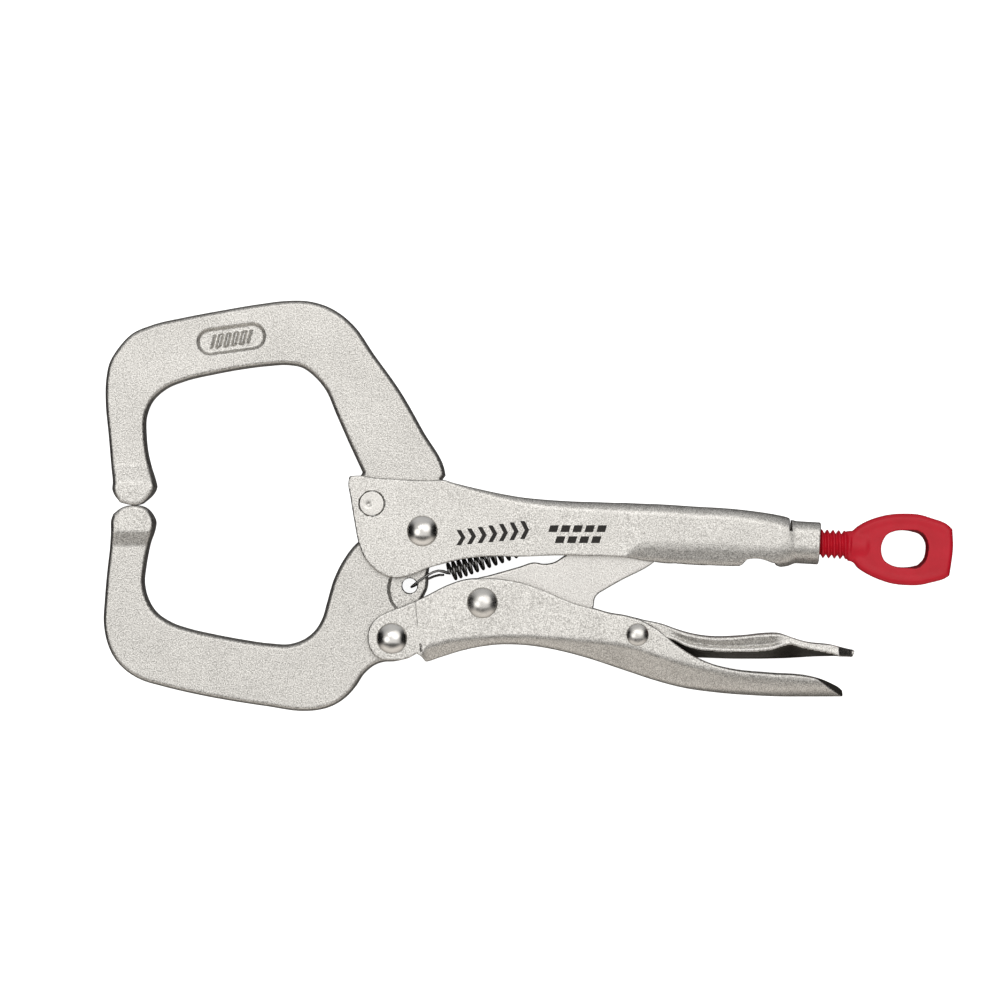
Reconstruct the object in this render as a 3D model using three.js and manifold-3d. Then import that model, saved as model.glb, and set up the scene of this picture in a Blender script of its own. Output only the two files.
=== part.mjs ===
// Locking C clamp, closed and locked, lying on its side.
// Millimetres. X runs from the jaws to the adjusting screw, Y from the lower lever up to the
// upper handle, Z is the thickness. The group ends up centred in X and Y with its lowest
// rivet heads at Z = 0.
import * as THREE from "three";
import { mergeVertices } from "three/addons/utils/BufferGeometryUtils.js";
import Module from "manifold-3d";

const wasm = await Module();
wasm.setup();
const { Manifold, Mesh } = wasm;

// ---------- driving dimensions ----------
const SHEET = 2.2; // handle and lever sheet thickness
const SLOT_HALF = 5.5; // half the gap between the handle's or lever's front walls
const EAR_HALF = SLOT_HALF + SHEET; // outside of those walls
const ARM_HALF = 5.2; // half thickness of the forged jaw arms
const TIP_HALF = 7.0; // half thickness of the jaw tips
const TAB_HALF = 3.9; // half thickness of the lower jaw's thinned tab
const LINK_HALF = 5.2; // half thickness of the toggle link
const CHANNEL_HALF = 8.3; // outside of the lower lever behind its joggle
const TAIL_HALF = 9.8; // outside of the lower lever at its tail
const HANDLE_REAR_HALF = 9.0; // outside of the rolled handle
const NECK_R = 6.9; // outside radius of the handle's screw neck
const NECK_BORE_R = 5.05;
const RIVET_R = 3.5; // shank of the three large rivets
const RIVET_HOLE_R = 3.6;
const RIVET_DOME_R = 5.1;
const RIVET_DOME_H = 2.8;
const RELEASE_PIN_R = 2.3;
const RELEASE_HOLE_R = 2.4;
const RELEASE_DOME_R = 3.7;
const RELEASE_DOME_H = 2.0;
const ANCHOR_R = 4.24; // flush pin of the upper jaw
const ANCHOR_HOLE_R = 4.3;
const HOOK_HOLE_R = 2.5; // spring hole in the lower jaw's tab
const SCREW_R = 4.75; // thread crest
const SCREW_ROOT_R = 3.6;
const SCREW_PITCH = 1.9;
const SCREW_TILT = (-3.3 * Math.PI) / 180;
const TIP_R = 3.3; // the screw's plain end
const LOOP_HALF = 2.8; // half thickness of the screw's loop
const SPRING_R = 2.8; // mean coil radius
const SPRING_WIRE_R = 0.55;
const SPRING_TURNS = 17;
const RELEASE_HALF = 5.8; // outside of the release lever at its pivot
const RELEASE_TAIL_HALF = 7.0;
const RELEASE_SHEET = 1.9;

// ---------- pivots (X, Y) ----------
const JAW_PIVOT = [-34.97, -8.258];
const LEVER_PIVOT = [-45.033, -43.742];
const LINK_PIVOT = [-15.143, -31.991];
const RELEASE_PIVOT = [36.096, -42.517];
const ANCHOR = [-51.719, 0.778];
const HOOK_HOLE = [-39.24, -26.497];
const NOSE = [45.297, -9.417]; // centre of the link's rounded nose
const SCREW_AXIS_POINT = [91.637, -12.197];

// ---------- outlines (X, Y) ----------
const UPPER_JAW = [
  [-137.878, 7.53], [-138.341, 12.164], [-139.334, 23.882], [-140.261, 34.043],
  [-140.096, 42.02], [-138.904, 47.614], [-136.024, 52.414], [-131.291, 57.246],
  [-124.87, 60.06], [-113.881, 62.675], [-101.369, 65.025], [-88.857, 67.143],
  [-80.251, 68.169], [-73.101, 68.004], [-66.812, 66.316], [-62.079, 63.635], [-57.544, 59.53],
  [-51.288, 50.56], [-42.351, 37.949], [-34.639, 24.577], [-27.622, 11.899], [-27.291, 9.98],
  [-28.284, 8.821], [-28.549, 5.246], [-28.483, -0.513], [-29.906, 0.612], [-31.528, 1.241],
  [-34.97, 1.837], [-38.413, 1.241], [-41.458, -0.513], [-43.742, -2.532], [-47.052, -5.015],
  [-51.686, -8.656], [-55.327, -11.138], [-56.584, -7.994], [-57.379, -3.062], [-57.677, 1.936],
  [-57.246, 6.901], [-54.929, 11.039], [-59.497, 20.704], [-63.602, 30.005], [-67.706, 39.141],
  [-71.38, 43.278], [-74.922, 45.728], [-79.457, 46.621], [-86.408, 46.323], [-94.186, 45.364],
  [-104.315, 43.477], [-113.682, 41.292], [-119.971, 38.71], [-124.605, 34.441],
  [-126.525, 29.409], [-126.657, 23.253], [-125.962, 16.997], [-124.804, 12.528],
  [-123.413, 8.06], [-123.082, 6.272], [-123.579, 4.651], [-124.804, 2.896], [-126.425, 1.539],
  [-128.312, 0.645], [-130.464, 0.381], [-132.615, 0.645], [-135.263, 1.076], [-137.084, 3.161],
  [-138.044, 5.544],
];
const UPPER_TIP = [
  [-136.653, 13.588], [-136.455, 7.332], [-135.793, 4.154], [-133.707, 1.638],
  [-130.728, 0.645], [-127.981, 1.274], [-125.267, 3.095], [-124.605, 5.445], [-125.267, 8.821],
  [-126.161, 13.588],
];
const LOWER_JAW = [
  [-138.441, -4.849], [-137.779, -2.565], [-135.296, -0.679], [-132.284, -0.05],
  [-129.14, -0.017], [-125.83, -1.208], [-124.009, -3.459], [-123.413, -5.412],
  [-123.612, -7.332], [-125.101, -12.23], [-126.094, -16.633], [-126.756, -20.307],
  [-127.187, -25.239], [-126.26, -29.939], [-123.115, -35.334], [-118.349, -38.611],
  [-112.126, -40.829], [-104.315, -42.583], [-94.98, -44.371], [-85.646, -45.695],
  [-78.662, -45.794], [-74.326, -44.271], [-70.817, -41.392], [-68.5, -37.453],
  [-66.845, -32.09], [-64.462, -24.213], [-61.252, -17.857], [-56.419, -12.098],
  [-51.024, -8.92], [-47.052, -6.008], [-43.08, -4.485], [-41.756, -2.334], [-39.273, -0.414],
  [-34.97, 0.679], [-30.667, -0.414], [-27.324, -3.658], [-26.033, -8.258], [-26.761, -12.959],
  [-29.343, -17.096], [-32.554, -19.579], [-33.05, -23.12], [-33.017, -25.735],
  [-33.514, -27.92], [-34.474, -29.873], [-35.798, -33.481], [-36.691, -37.784],
  [-36.857, -41.756], [-37.055, -45.397], [-38.28, -48.343], [-40.994, -50.593],
  [-44.668, -51.686], [-47.78, -51.851], [-50.726, -52.844], [-54.135, -55.591],
  [-57.114, -59.994], [-60.325, -63.569], [-65.157, -66.647], [-69.99, -67.905],
  [-74.789, -68.169], [-86.507, -66.647], [-98.224, -64.826], [-110.008, -62.576],
  [-121.758, -59.828], [-128.18, -57.942], [-133.211, -54.963], [-137.547, -50.196],
  [-139.996, -44.404], [-140.923, -38.578], [-140.559, -31.428], [-139.732, -22.061],
  [-138.706, -12.694], [-138.474, -7.961],
];
const LOWER_TIP = [
  [-137.017, -12.959], [-136.984, -4.948], [-136.422, -3.558], [-134.436, -1.837],
  [-132.119, -0.712], [-129.305, -0.645], [-126.492, -1.672], [-124.506, -3.558],
  [-123.844, -5.346], [-124.175, -7.431], [-125.995, -12.959],
];
const THIN_CENTRE = [-36.791, -27.523];
const THIN_R = 9.136;

const HANDLE_SIDE = [
  [-59.133, 9.847], [-59.464, 7.596], [-58.67, 2.267], [-57.511, -4.849], [-55.79, -13.091],
  [-54.003, -17.229], [-51.653, -20.174], [-48.078, -22.822], [-43.94, -23.849],
  [-40.399, -23.418], [-36.857, -22.227], [-32.719, -20.472], [-27.39, -18.983],
  [-20.903, -17.526], [-12.032, -16.732], [-3.161, -16.798], [8.656, -16.401], [20.472, -16.5],
  [32.719, -17.096], [42.186, -18.884], [54.83, -19.81], [67.507, -20.505], [70.122, -20.208],
  [71.215, -18.983], [72.373, -17.692], [74.823, -17.394], [77.305, -17.659], [79.788, -18.387],
  [81.939, -19.446], [83.429, -20.241], [86.672, -21.234], [99.912, -21.234], [99.912, 1.936],
  [56.882, 5.246], [10.542, 6.57], [-9.318, 5.842], [-16.6, 6.306], [-21.863, 7.398],
  [-25.173, 8.093], [-27.854, 8.556], [-32.488, 8.358], [-42.418, 8.821], [-50.693, 9.351],
  [-55.658, 10.013],
];
const LEVER_SIDE = [
  [-53.109, -43.808], [-52.513, -40.266], [-50.461, -37.32], [-46.919, -35.235],
  [-41.59, -33.183], [-34.507, -30.204], [-26.828, -26.364], [-20.903, -24.411],
  [-14.978, -24.014], [-9.086, -24.18], [-3.161, -25.206], [5.71, -28.152], [11.602, -30.8],
  [17.493, -32.885], [21.664, -33.944], [27.026, -35.467], [32.719, -36.427], [37.784, -37.982],
  [42.219, -40.531], [48.541, -45.595], [54.863, -49.7], [61.218, -52.579], [67.541, -54.135],
  [80.218, -55.459], [92.895, -56.452], [97.926, -57.71], [101.236, -59.166],
  [104.215, -60.755], [104.348, -63.271], [104.348, -66.25], [37.022, -66.25],
  [-19.248, -60.954], [-32.488, -54.996], [-33.911, -51.785], [-35.731, -49.501],
  [-36.857, -48.839], [-39.803, -50.428], [-42.782, -51.024], [-45.827, -51.024],
  [-48.078, -50.891], [-50.461, -49.733], [-52.381, -47.052],
];
const LINK_SIDE = [
  [-17.361, -24.279], [-12.628, -22.988], [-7.663, -21.598], [-2.698, -20.174],
  [2.135, -18.784], [5.114, -19.248], [8.556, -18.751], [12.197, -16.434], [23.782, -9.318],
  [41.987, -6.206], [44.304, -5.213], [46.952, -5.478], [48.938, -7.332], [49.468, -9.649],
  [48.607, -11.966], [46.621, -13.422], [41.59, -18.685], [30.402, -24.875], [25.239, -27.854],
  [22.889, -29.376], [21.995, -30.833], [21.763, -32.819], [21.134, -35.136], [19.148, -36.592],
  [10.542, -37.287], [-2.698, -38.28], [-13.29, -39.306], [-18.586, -38.644],
  [-22.061, -35.467], [-22.789, -31.164], [-21.234, -27.192],
];
const RELEASE_SIDE = [
  [34.043, -37.055], [38.578, -37.883], [43.94, -39.207], [48.607, -40.73], [53.241, -42.054],
  [57.875, -42.98], [62.112, -43.311], [67.143, -43.311], [73.465, -43.047], [76.478, -42.583],
  [79.854, -42.252], [83.726, -42.285], [84.686, -42.55], [91.968, -44.404], [101.766, -46.059],
  [107.592, -47.647], [107.923, -48.309], [107.492, -49.865], [103.388, -49.931],
  [96.834, -49.964], [84.686, -50.494], [70.122, -50.66], [57.015, -50.329], [47.614, -50.163],
  [39.67, -49.203], [31.064, -47.548], [25.106, -45.86], [21.73, -43.08], [21.267, -40.895],
  [22.789, -39.902], [27.092, -39.571], [30.402, -38.644],
];
const LOOP = [
  [105.341, -8.689], [107.459, -8.457], [109.015, -7.034], [112.259, -5.147], [116.297, -3.658],
  [120.269, -2.83], [125.466, -2.565], [129.504, -2.83], [133.575, -3.989], [139.368, -6.438],
  [140.725, -7.795], [140.923, -13.952], [140.129, -20.406], [139.699, -23.153],
  [138.507, -23.948], [133.608, -25.47], [129.934, -26.265], [125.432, -26.331],
  [120.6, -25.801], [116.595, -24.544], [112.226, -22.525], [109.114, -20.406],
  [107.658, -18.685], [106.036, -18.222],
];
const LOOP_HOLE = [
  [117.058, -13.952], [117.853, -11.271], [119.309, -9.417], [121.494, -8.457],
  [127.485, -8.523], [130.033, -9.351], [131.92, -11.767], [132.152, -15.143],
  [131.457, -17.692], [129.206, -19.877], [125.863, -20.406], [120.335, -19.678],
  [118.018, -17.99], [117.157, -15.805],
];
// Handle sections from front to back: X, top Y, bottom Y, half width, top corner, bottom corner.
const HANDLE_STATIONS = [
  [-62.278, 13.19, -28.516, 7.7, 1.5, 0.3],
  [-27.192, 10.542, -28.516, 7.7, 1.5, 0.3],
  [-25.868, 7.894, -28.516, 7.7, 3.2, 0.3],
  [-22.558, 7.034, -27.854, 7.7, 3.4, 0.3],
  [-15.938, 5.511, -25.868, 7.7, 3.6, 0.3],
  [-9.318, 4.088, -24.544, 7.8, 3.8, 0.3],
  [-2.698, 2.929, -23.22, 7.9, 4, 0.4],
  [5.577, 2.069, -21.234, 8.1, 4.2, 0.5],
  [13.852, 1.539, -19.91, 8.3, 4.4, 0.8],
  [23.782, 1.208, -18.255, 8.5, 4.5, 1.4],
  [32.719, 0.976, -17.46, 8.7, 4.6, 2.2],
  [41.987, 0.612, -18.387, 8.9, 4.6, 3.1],
  [54.896, -0.248, -19.181, 9, 4.6, 3.8],
  [68.467, -1.109, -19.777, 9, 4.6, 4.4],
  [79.39, -2.499, -19.777, 9, 4.8, 4.8],
  [83.693, -3.293, -19.777, 8.9, 5, 5],
  [85.812, -3.889, -19.512, 8.4, 5.4, 5.4],
  [86.772, -4.75, -19.049, 7.3, 5.8, 5.8],
];
const HANDLE_VOID = [
  [-65.588, -4.684, -64.264, 5.5, 0.6, 0.3],
  [-27.192, 5.577, -64.264, 5.5, 1.2, 0.3],
  [-15.938, 3.327, -64.264, 5.5, 1.6, 0.3],
  [-9.318, 1.87, -64.264, 5.6, 1.8, 0.3],
  [-2.698, 0.712, -64.264, 5.7, 1.9, 0.3],
  [5.577, -0.149, -24.544, 5.9, 2, 0.3],
  [13.852, -0.679, -17.659, 6.1, 2.1, 0.4],
  [23.782, -1.01, -15.276, 6.3, 2.3, 0.6],
  [32.719, -1.241, -15.276, 6.5, 2.4, 0.8],
  [41.987, -1.605, -16.169, 6.7, 2.4, 1.2],
  [54.896, -2.466, -16.964, 6.8, 2.4, 1.7],
  [68.467, -3.327, -17.56, 6.8, 2.4, 2.2],
  [79.39, -4.684, -17.56, 6.8, 2.6, 2.6],
  [82.038, -5.346, -17.427, 6.6, 2.8, 2.8],
];
// Lower lever sections from front to back: X, top Y, bottom Y, half width, bottom corner in Z, in Y.
const LEVER_STATIONS = [
  [-55.658, -17.924, -51.686, 7.7, 0.3, 0.3],
  [-38.446, -17.924, -51.288, 7.7, 0.6, 0.6],
  [-37.221, -17.924, -51.222, 7.7, 1.2, 1.2],
  [-36.327, -17.924, -51.156, 8.3, 2.4, 2.6],
  [-34.474, -17.924, -50.957, 8.3, 3, 3.1],
  [-29.178, -17.924, -50.163, 8.3, 3.4, 3.5],
  [-22.227, -17.924, -48.012, 8.3, 3.6, 3.8],
  [-14.945, -17.924, -46.489, 8.3, 3.6, 3.6],
  [-7.332, -17.924, -45.86, 8.3, 3.6, 3.5],
  [-0.215, -17.924, -46.191, 8.3, 3.9, 3.8],
  [8.556, -17.924, -47.581, 8.3, 4.4, 4.6],
  [20.141, -17.924, -50.593, 8.3, 5.4, 6.4],
  [29.409, -17.924, -53.672, 8.4, 6.2, 7.8],
  [35.864, -17.924, -55.856, 8.5, 6.8, 8.2],
  [42.318, -17.924, -57.975, 8.7, 7.2, 8.4],
  [51.586, -17.924, -60.358, 9, 7.6, 8],
  [61.185, -17.924, -61.748, 9.3, 8, 7.4],
  [73.763, -17.924, -62.774, 9.6, 8.4, 6.8],
  [86.672, -17.924, -63.204, 9.8, 8.6, 6.4],
  [105.208, -17.924, -63.204, 9.8, 8.6, 6.2],
];
const RELEASE_STATIONS = [
  [19.148, -31.164, -46.39, 5.8, 1.6, 1.6],
  [25.106, -31.164, -46.522, 5.8, 1.8, 1.8],
  [31.064, -31.164, -47.714, 5.8, 2, 2],
  [39.67, -31.164, -49.302, 5.8, 2.2, 2.4],
  [47.614, -31.164, -50.229, 5.8, 2.6, 3],
  [56.882, -31.164, -50.329, 5.9, 3, 3.4],
  [70.122, -31.164, -50.494, 6.3, 3.2, 3.4],
  [84.686, -31.164, -50.395, 6.7, 3, 3.2],
  [96.834, -31.164, -49.998, 7, 2.4, 2.6],
  [109.18, -31.164, -49.7, 7, 2, 2],
];

// ---------- helpers ----------
const toSolid = (geometry) => {
  const bare = new THREE.BufferGeometry().setAttribute(
    "position",
    (geometry.index ? geometry.toNonIndexed() : geometry).getAttribute("position"),
  );
  const merged = mergeVertices(bare, 1e-4);
  return new Manifold(
    new Mesh({
      numProp: 3,
      vertProperties: new Float32Array(merged.attributes.position.array),
      triVerts: new Uint32Array(merged.index.array),
    }),
  );
};
const toGeometry = (solid) => {
  const m = solid.getMesh();
  const p = new Float32Array(m.numVert * 3);
  for (let i = 0; i < m.numVert; i++)
    for (let k = 0; k < 3; k++) p[3 * i + k] = m.vertProperties[i * m.numProp + k];
  const g = new THREE.BufferGeometry();
  g.setAttribute("position", new THREE.BufferAttribute(p, 3));
  g.setIndex(new THREE.BufferAttribute(new Uint32Array(m.triVerts), 1));
  return g;
};
const shapeOf = (points, holes = []) => {
  const s = new THREE.Shape(points.map(([x, y]) => new THREE.Vector2(x, y)));
  for (const h of holes) s.holes.push(new THREE.Path(h.map(([x, y]) => new THREE.Vector2(x, y))));
  return s;
};
// A plate of the given outline from z0 to z1.
const plate = (points, z0, z1, holes = []) => {
  const g = new THREE.ExtrudeGeometry(shapeOf(points, holes), {
    depth: z1 - z0,
    bevelEnabled: false,
    steps: 1,
  });
  g.translate(0, 0, z0);
  return toSolid(g);
};
// A plate with rounded edges, whose outermost outline is the given one. Each edge ring is the
// outline moved inwards, and the caps use the outline's own triangles.
const rounded = (points, half, radius, segments, holes = []) => {
  const loops = [points, ...holes].map((loop, k) => {
    const area = THREE.ShapeUtils.area(loop.map(([x, y]) => new THREE.Vector2(x, y)));
    const wanted = k === 0 ? area > 0 : area < 0;
    return wanted ? loop : [...loop].reverse();
  });
  const inward = loops.map((loop) =>
    loop.map((p, i) => {
      const a = loop[(i + loop.length - 1) % loop.length];
      const b = loop[(i + 1) % loop.length];
      const n = (u, v) => {
        const l = Math.hypot(v[0] - u[0], v[1] - u[1]);
        return [-(v[1] - u[1]) / l, (v[0] - u[0]) / l];
      };
      const n1 = n(a, p);
      const n2 = n(p, b);
      const m = [n1[0] + n2[0], n1[1] + n2[1]];
      const l = Math.hypot(m[0], m[1]);
      const k = Math.min(2 / l, 1.35) / l;
      return [m[0] * k, m[1] * k];
    }),
  );
  const flat = loops.flat();
  const move = inward.flat();
  const count = flat.length;
  const levels = [];
  for (let i = 0; i <= segments; i++) {
    const a = ((Math.PI / 2) * i) / segments;
    levels.push([-half + radius * (1 - Math.sin(a)), radius * (1 - Math.cos(a))]);
  }
  const rings = [...levels.map(([z, d]) => [z, d])].reverse();
  const all = [...rings, ...levels.map(([z, d]) => [-z, d])];
  const pos = [];
  for (const [z, d] of all)
    for (let i = 0; i < count; i++) pos.push(flat[i][0] + move[i][0] * d, flat[i][1] + move[i][1] * d, z);
  const tris = [];
  let start = 0;
  for (const loop of loops) {
    const n = loop.length;
    for (let r = 0; r + 1 < all.length; r++)
      for (let i = 0; i < n; i++) {
        const j = (i + 1) % n;
        const a = r * count + start + i;
        const b = r * count + start + j;
        tris.push(a, b, b + count, a, b + count, a + count);
      }
    start += n;
  }
  const v = (loop) => loop.map(([x, y]) => new THREE.Vector2(x, y));
  const faces = THREE.ShapeUtils.triangulateShape(v(loops[0]), loops.slice(1).map(v));
  const top = (all.length - 1) * count;
  for (const [a, b, c] of faces) {
    const area =
      (flat[b][0] - flat[a][0]) * (flat[c][1] - flat[a][1]) - (flat[c][0] - flat[a][0]) * (flat[b][1] - flat[a][1]);
    const [p, q] = area > 0 ? [b, c] : [c, b];
    tris.push(top + a, top + p, top + q, a, q, p);
  }
  return new Manifold(
    new Mesh({
      numProp: 3,
      vertProperties: new Float32Array(pos),
      triVerts: new Uint32Array(tris),
    }),
  );
};
const pinAt = ([x, y], r, z0, z1, segments = 28) => {
  const g = new THREE.CylinderGeometry(r, r, z1 - z0, segments);
  g.rotateX(Math.PI / 2);
  g.translate(x, y, (z0 + z1) / 2);
  return toSolid(g);
};
const box = (x0, x1, y0, y1, z0, z1) => {
  const g = new THREE.BoxGeometry(x1 - x0, y1 - y0, z1 - z0);
  g.translate((x0 + x1) / 2, (y0 + y1) / 2, (z0 + z1) / 2);
  return toSolid(g);
};
// A closed ring in the Y-Z plane: a rectangle with elliptical corners.
const ring = (top, bottom, half, tz, ty, bz, by, n) => {
  const out = [];
  const corner = (cy, cz, ry, rz, a0) => {
    for (let i = 0; i <= n; i++) {
      const a = a0 + ((Math.PI / 2) * i) / n;
      out.push([cy + ry * Math.sin(a), cz + rz * Math.cos(a)]);
    }
  };
  corner(top - ty, half - tz, ty, tz, 0);
  corner(top - ty, -(half - tz), ty, tz, Math.PI / 2);
  corner(bottom + by, -(half - bz), by, bz, Math.PI);
  corner(bottom + by, half - bz, by, bz, (3 * Math.PI) / 2);
  return out;
};
// A solid through a row of rings, each at its own X.
const loft = (rings) => {
  const n = rings[0].points.length;
  const p = [];
  const tri = (a, b, c) => p.push(...a, ...b, ...c);
  const at = (r, i) => [r.x, r.points[i % n][0], r.points[i % n][1]];
  for (let k = 0; k + 1 < rings.length; k++)
    for (let i = 0; i < n; i++) {
      const a = at(rings[k], i);
      const b = at(rings[k], i + 1);
      const c = at(rings[k + 1], i + 1);
      const d = at(rings[k + 1], i);
      tri(a, c, b);
      tri(a, d, c);
    }
  for (const [r, flip] of [
    [rings[0], false],
    [rings[rings.length - 1], true],
  ]) {
    let cy = 0;
    let cz = 0;
    for (const [y, z] of r.points) {
      cy += y / n;
      cz += z / n;
    }
    for (let i = 0; i < n; i++) {
      const a = at(r, i);
      const b = at(r, i + 1);
      if (flip) tri([r.x, cy, cz], b, a);
      else tri([r.x, cy, cz], a, b);
    }
  }
  const g = new THREE.BufferGeometry();
  g.setAttribute("position", new THREE.BufferAttribute(new Float32Array(p), 3));
  let s = toSolid(g);
  if (s.volume() < 0) {
    for (let i = 0; i < p.length; i += 9)
      for (let k = 0; k < 3; k++) [p[i + 3 + k], p[i + 6 + k]] = [p[i + 6 + k], p[i + 3 + k]];
    g.setAttribute("position", new THREE.BufferAttribute(new Float32Array(p), 3));
    s = toSolid(g);
  }
  return s;
};
// A turned part from a profile of [axial, radius], along +X, then placed on the screw's axis.
const onScrewAxis = (g) => {
  g.rotateZ(SCREW_TILT);
  g.translate(SCREW_AXIS_POINT[0], SCREW_AXIS_POINT[1], 0);
  return g;
};
const turned = (profile, segments) => {
  const g = new THREE.LatheGeometry(
    profile.map(([x, r]) => new THREE.Vector2(r, x)),
    segments,
  );
  g.rotateZ(-Math.PI / 2);
  return g;
};
const alongScrew = (x) => (x - SCREW_AXIS_POINT[0]) / Math.cos(SCREW_TILT);
const domeRivet = (centre, shank, domeR, domeH, face, n = 20) => {
  const profile = [[-face - domeH, 0]];
  const steps = 4;
  for (let i = 1; i <= steps; i++) {
    const a = ((Math.PI / 2) * i) / steps;
    profile.push([-face - domeH * Math.cos(a) - 0.0, domeR * Math.sin(a)]);
  }
  profile.push([-face, shank]);
  profile.push([face, shank]);
  for (let i = steps; i >= 1; i--) {
    const a = ((Math.PI / 2) * i) / steps;
    profile.push([face + domeH * Math.cos(a), domeR * Math.sin(a)]);
  }
  profile.push([face + domeH, 0]);
  const g = new THREE.LatheGeometry(
    profile.map(([x, r]) => new THREE.Vector2(r, x)),
    n,
  );
  g.rotateX(Math.PI / 2);
  g.translate(centre[0], centre[1], 0);
  let s = toSolid(g);
  return s;
};
const big = 60;

// ---------- upper handle ----------
const handleRings = (rows, n) =>
  rows.map(([x, top, bottom, half, rt, rb]) => ({
    x,
    points: ring(top, bottom, half, rt, rt, rb, rb, n),
  }));
let handle = loft(handleRings(HANDLE_STATIONS, 4));
handle = handle.intersect(plate(HANDLE_SIDE, -big, big));
handle = handle.subtract(loft(handleRings(HANDLE_VOID, 3)));
handle = handle.subtract(
  box(-65.588, 81.707, -44.404, -8.656, -5.7, 5.7).intersect(
    box(-65.588, 81.707, -44.404, -8.656, -5.7, 5.7),
  ),
);
handle = handle.subtract(box(-65.588, -27.357, -17.924, 21.796, -SLOT_HALF, SLOT_HALF));
const neckStart = alongScrew(82.369);
const neckEnd = alongScrew(96.602);
handle = handle.add(
  toSolid(
    onScrewAxis(
      turned(
        [
          [neckStart, 0],
          [neckStart, NECK_R - 0.6],
          [alongScrew(86.01), NECK_R],
          [neckEnd - 0.5, NECK_R],
          [neckEnd, NECK_R - 0.5],
          [neckEnd, 0],
        ],
        32,
      ),
    ),
  ),
);
handle = handle.subtract(
  toSolid(
    onScrewAxis(
      turned(
        [
          [alongScrew(79.39), 0],
          [alongScrew(79.39), NECK_BORE_R],
          [neckEnd + 5, NECK_BORE_R],
          [neckEnd + 5, 0],
        ],
        32,
      ),
    ),
  ),
);
// the tab the tension spring's rear end hooks into

let springTab = box(15.706, 17.295, -8.987, -0.05, -3, 3);
springTab = springTab.subtract(
  toSolid(
    new THREE.CylinderGeometry(1.5, 1.5, 12, 16).rotateZ(Math.PI / 2).translate(16.5, -6.67, 0),
  ),
);
handle = handle.add(springTab);
handle = handle.subtract(pinAt(JAW_PIVOT, RIVET_HOLE_R, -big, big));
handle = handle.subtract(pinAt(ANCHOR, ANCHOR_HOLE_R, -big, big));

// ---------- jaws ----------
let upperJaw = rounded(UPPER_JAW, ARM_HALF, 1.7, 2);
upperJaw = upperJaw.add(rounded(UPPER_TIP, TIP_HALF, 1.6, 2));
upperJaw = upperJaw.subtract(pinAt(ANCHOR, ANCHOR_HOLE_R, -big, big));
// a shallow oval recess on each face of the upper arm
const markAngle = (7.8 * Math.PI) / 180;
const markCentre = [-98.224, 55.194];
const markPoints = [];
for (let i = 0; i <= 8; i++) {
  const a = -Math.PI / 2 + (Math.PI * i) / 8;
  markPoints.push([6.951 + 4.138 * Math.cos(a), 4.138 * Math.sin(a)]);
}
for (let i = 0; i <= 8; i++) {
  const a = Math.PI / 2 + (Math.PI * i) / 8;
  markPoints.push([-6.951 + 4.138 * Math.cos(a), 4.138 * Math.sin(a)]);
}
const mark = markPoints.map(([u, v]) => [
  markCentre[0] + u * Math.cos(markAngle) - v * Math.sin(markAngle),
  markCentre[1] + u * Math.sin(markAngle) + v * Math.cos(markAngle),
]);
upperJaw = upperJaw.subtract(plate(mark, ARM_HALF - 0.5, ARM_HALF + 1));
upperJaw = upperJaw.subtract(plate(mark, -ARM_HALF - 1, -ARM_HALF + 0.5));

let lowerJaw = rounded(LOWER_JAW, ARM_HALF, 1.7, 2);
lowerJaw = lowerJaw.add(rounded(LOWER_TIP, TIP_HALF, 1.6, 2));
for (const side of [1, -1])
  lowerJaw = lowerJaw.subtract(
    pinAt(THIN_CENTRE, THIN_R, side > 0 ? TAB_HALF : -ARM_HALF - 1, side > 0 ? ARM_HALF + 1 : -TAB_HALF, 40),
  );
lowerJaw = lowerJaw.subtract(pinAt(JAW_PIVOT, RIVET_HOLE_R, -big, big));
lowerJaw = lowerJaw.subtract(pinAt(LEVER_PIVOT, RIVET_HOLE_R, -big, big));
lowerJaw = lowerJaw.subtract(pinAt(HOOK_HOLE, HOOK_HOLE_R, -big, big, 24));

// ---------- lower lever ----------
const openRings = (rows, n, inset) =>
  rows.map(([x, top, bottom, half, bz, by]) => ({
    x,
    points: ring(
      top + (inset ? 20 : 0),
      bottom + inset,
      half - inset,
      0.3,
      0.3,
      Math.max(bz - inset, 0.5),
      Math.max(by - inset, 0.5),
      n,
    ),
  }));
let lever = loft(openRings(LEVER_STATIONS, 4, 0));
lever = lever.intersect(plate(LEVER_SIDE, -big, big));
const leverVoid = LEVER_STATIONS.map((r, i) => (i === 0 ? [r[0] - 5, ...r.slice(1)] : r));
leverVoid[leverVoid.length - 1] = [107.194, ...leverVoid[leverVoid.length - 1].slice(1)];
lever = lever.subtract(loft(openRings(leverVoid, 4, SHEET)));
lever = lever.subtract(box(-58.968, -36.791, -64.264, -17.924, -SLOT_HALF, SLOT_HALF));
lever = lever.subtract(pinAt(LEVER_PIVOT, RIVET_HOLE_R, -big, big));
lever = lever.subtract(pinAt(LINK_PIVOT, RIVET_HOLE_R, -big, big));
lever = lever.subtract(pinAt(RELEASE_PIVOT, RELEASE_HOLE_R, -big, big, 24));

// ---------- toggle link ----------
let link = rounded(LINK_SIDE, LINK_HALF, 0.5, 1);
link = link.subtract(pinAt(LINK_PIVOT, RIVET_HOLE_R, -big, big));

// ---------- release lever ----------
let release = loft(openRings(RELEASE_STATIONS, 4, 0));
release = release.intersect(plate(RELEASE_SIDE, -big, big));
release = release.subtract(
  loft(openRings([[17.162, ...RELEASE_STATIONS[0].slice(1)], ...RELEASE_STATIONS.slice(1, -2), [89.982, ...RELEASE_STATIONS[8].slice(1)]], 4, RELEASE_SHEET)),
);
release = release.subtract(pinAt(RELEASE_PIVOT, RELEASE_HOLE_R, -big, big, 24));

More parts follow.
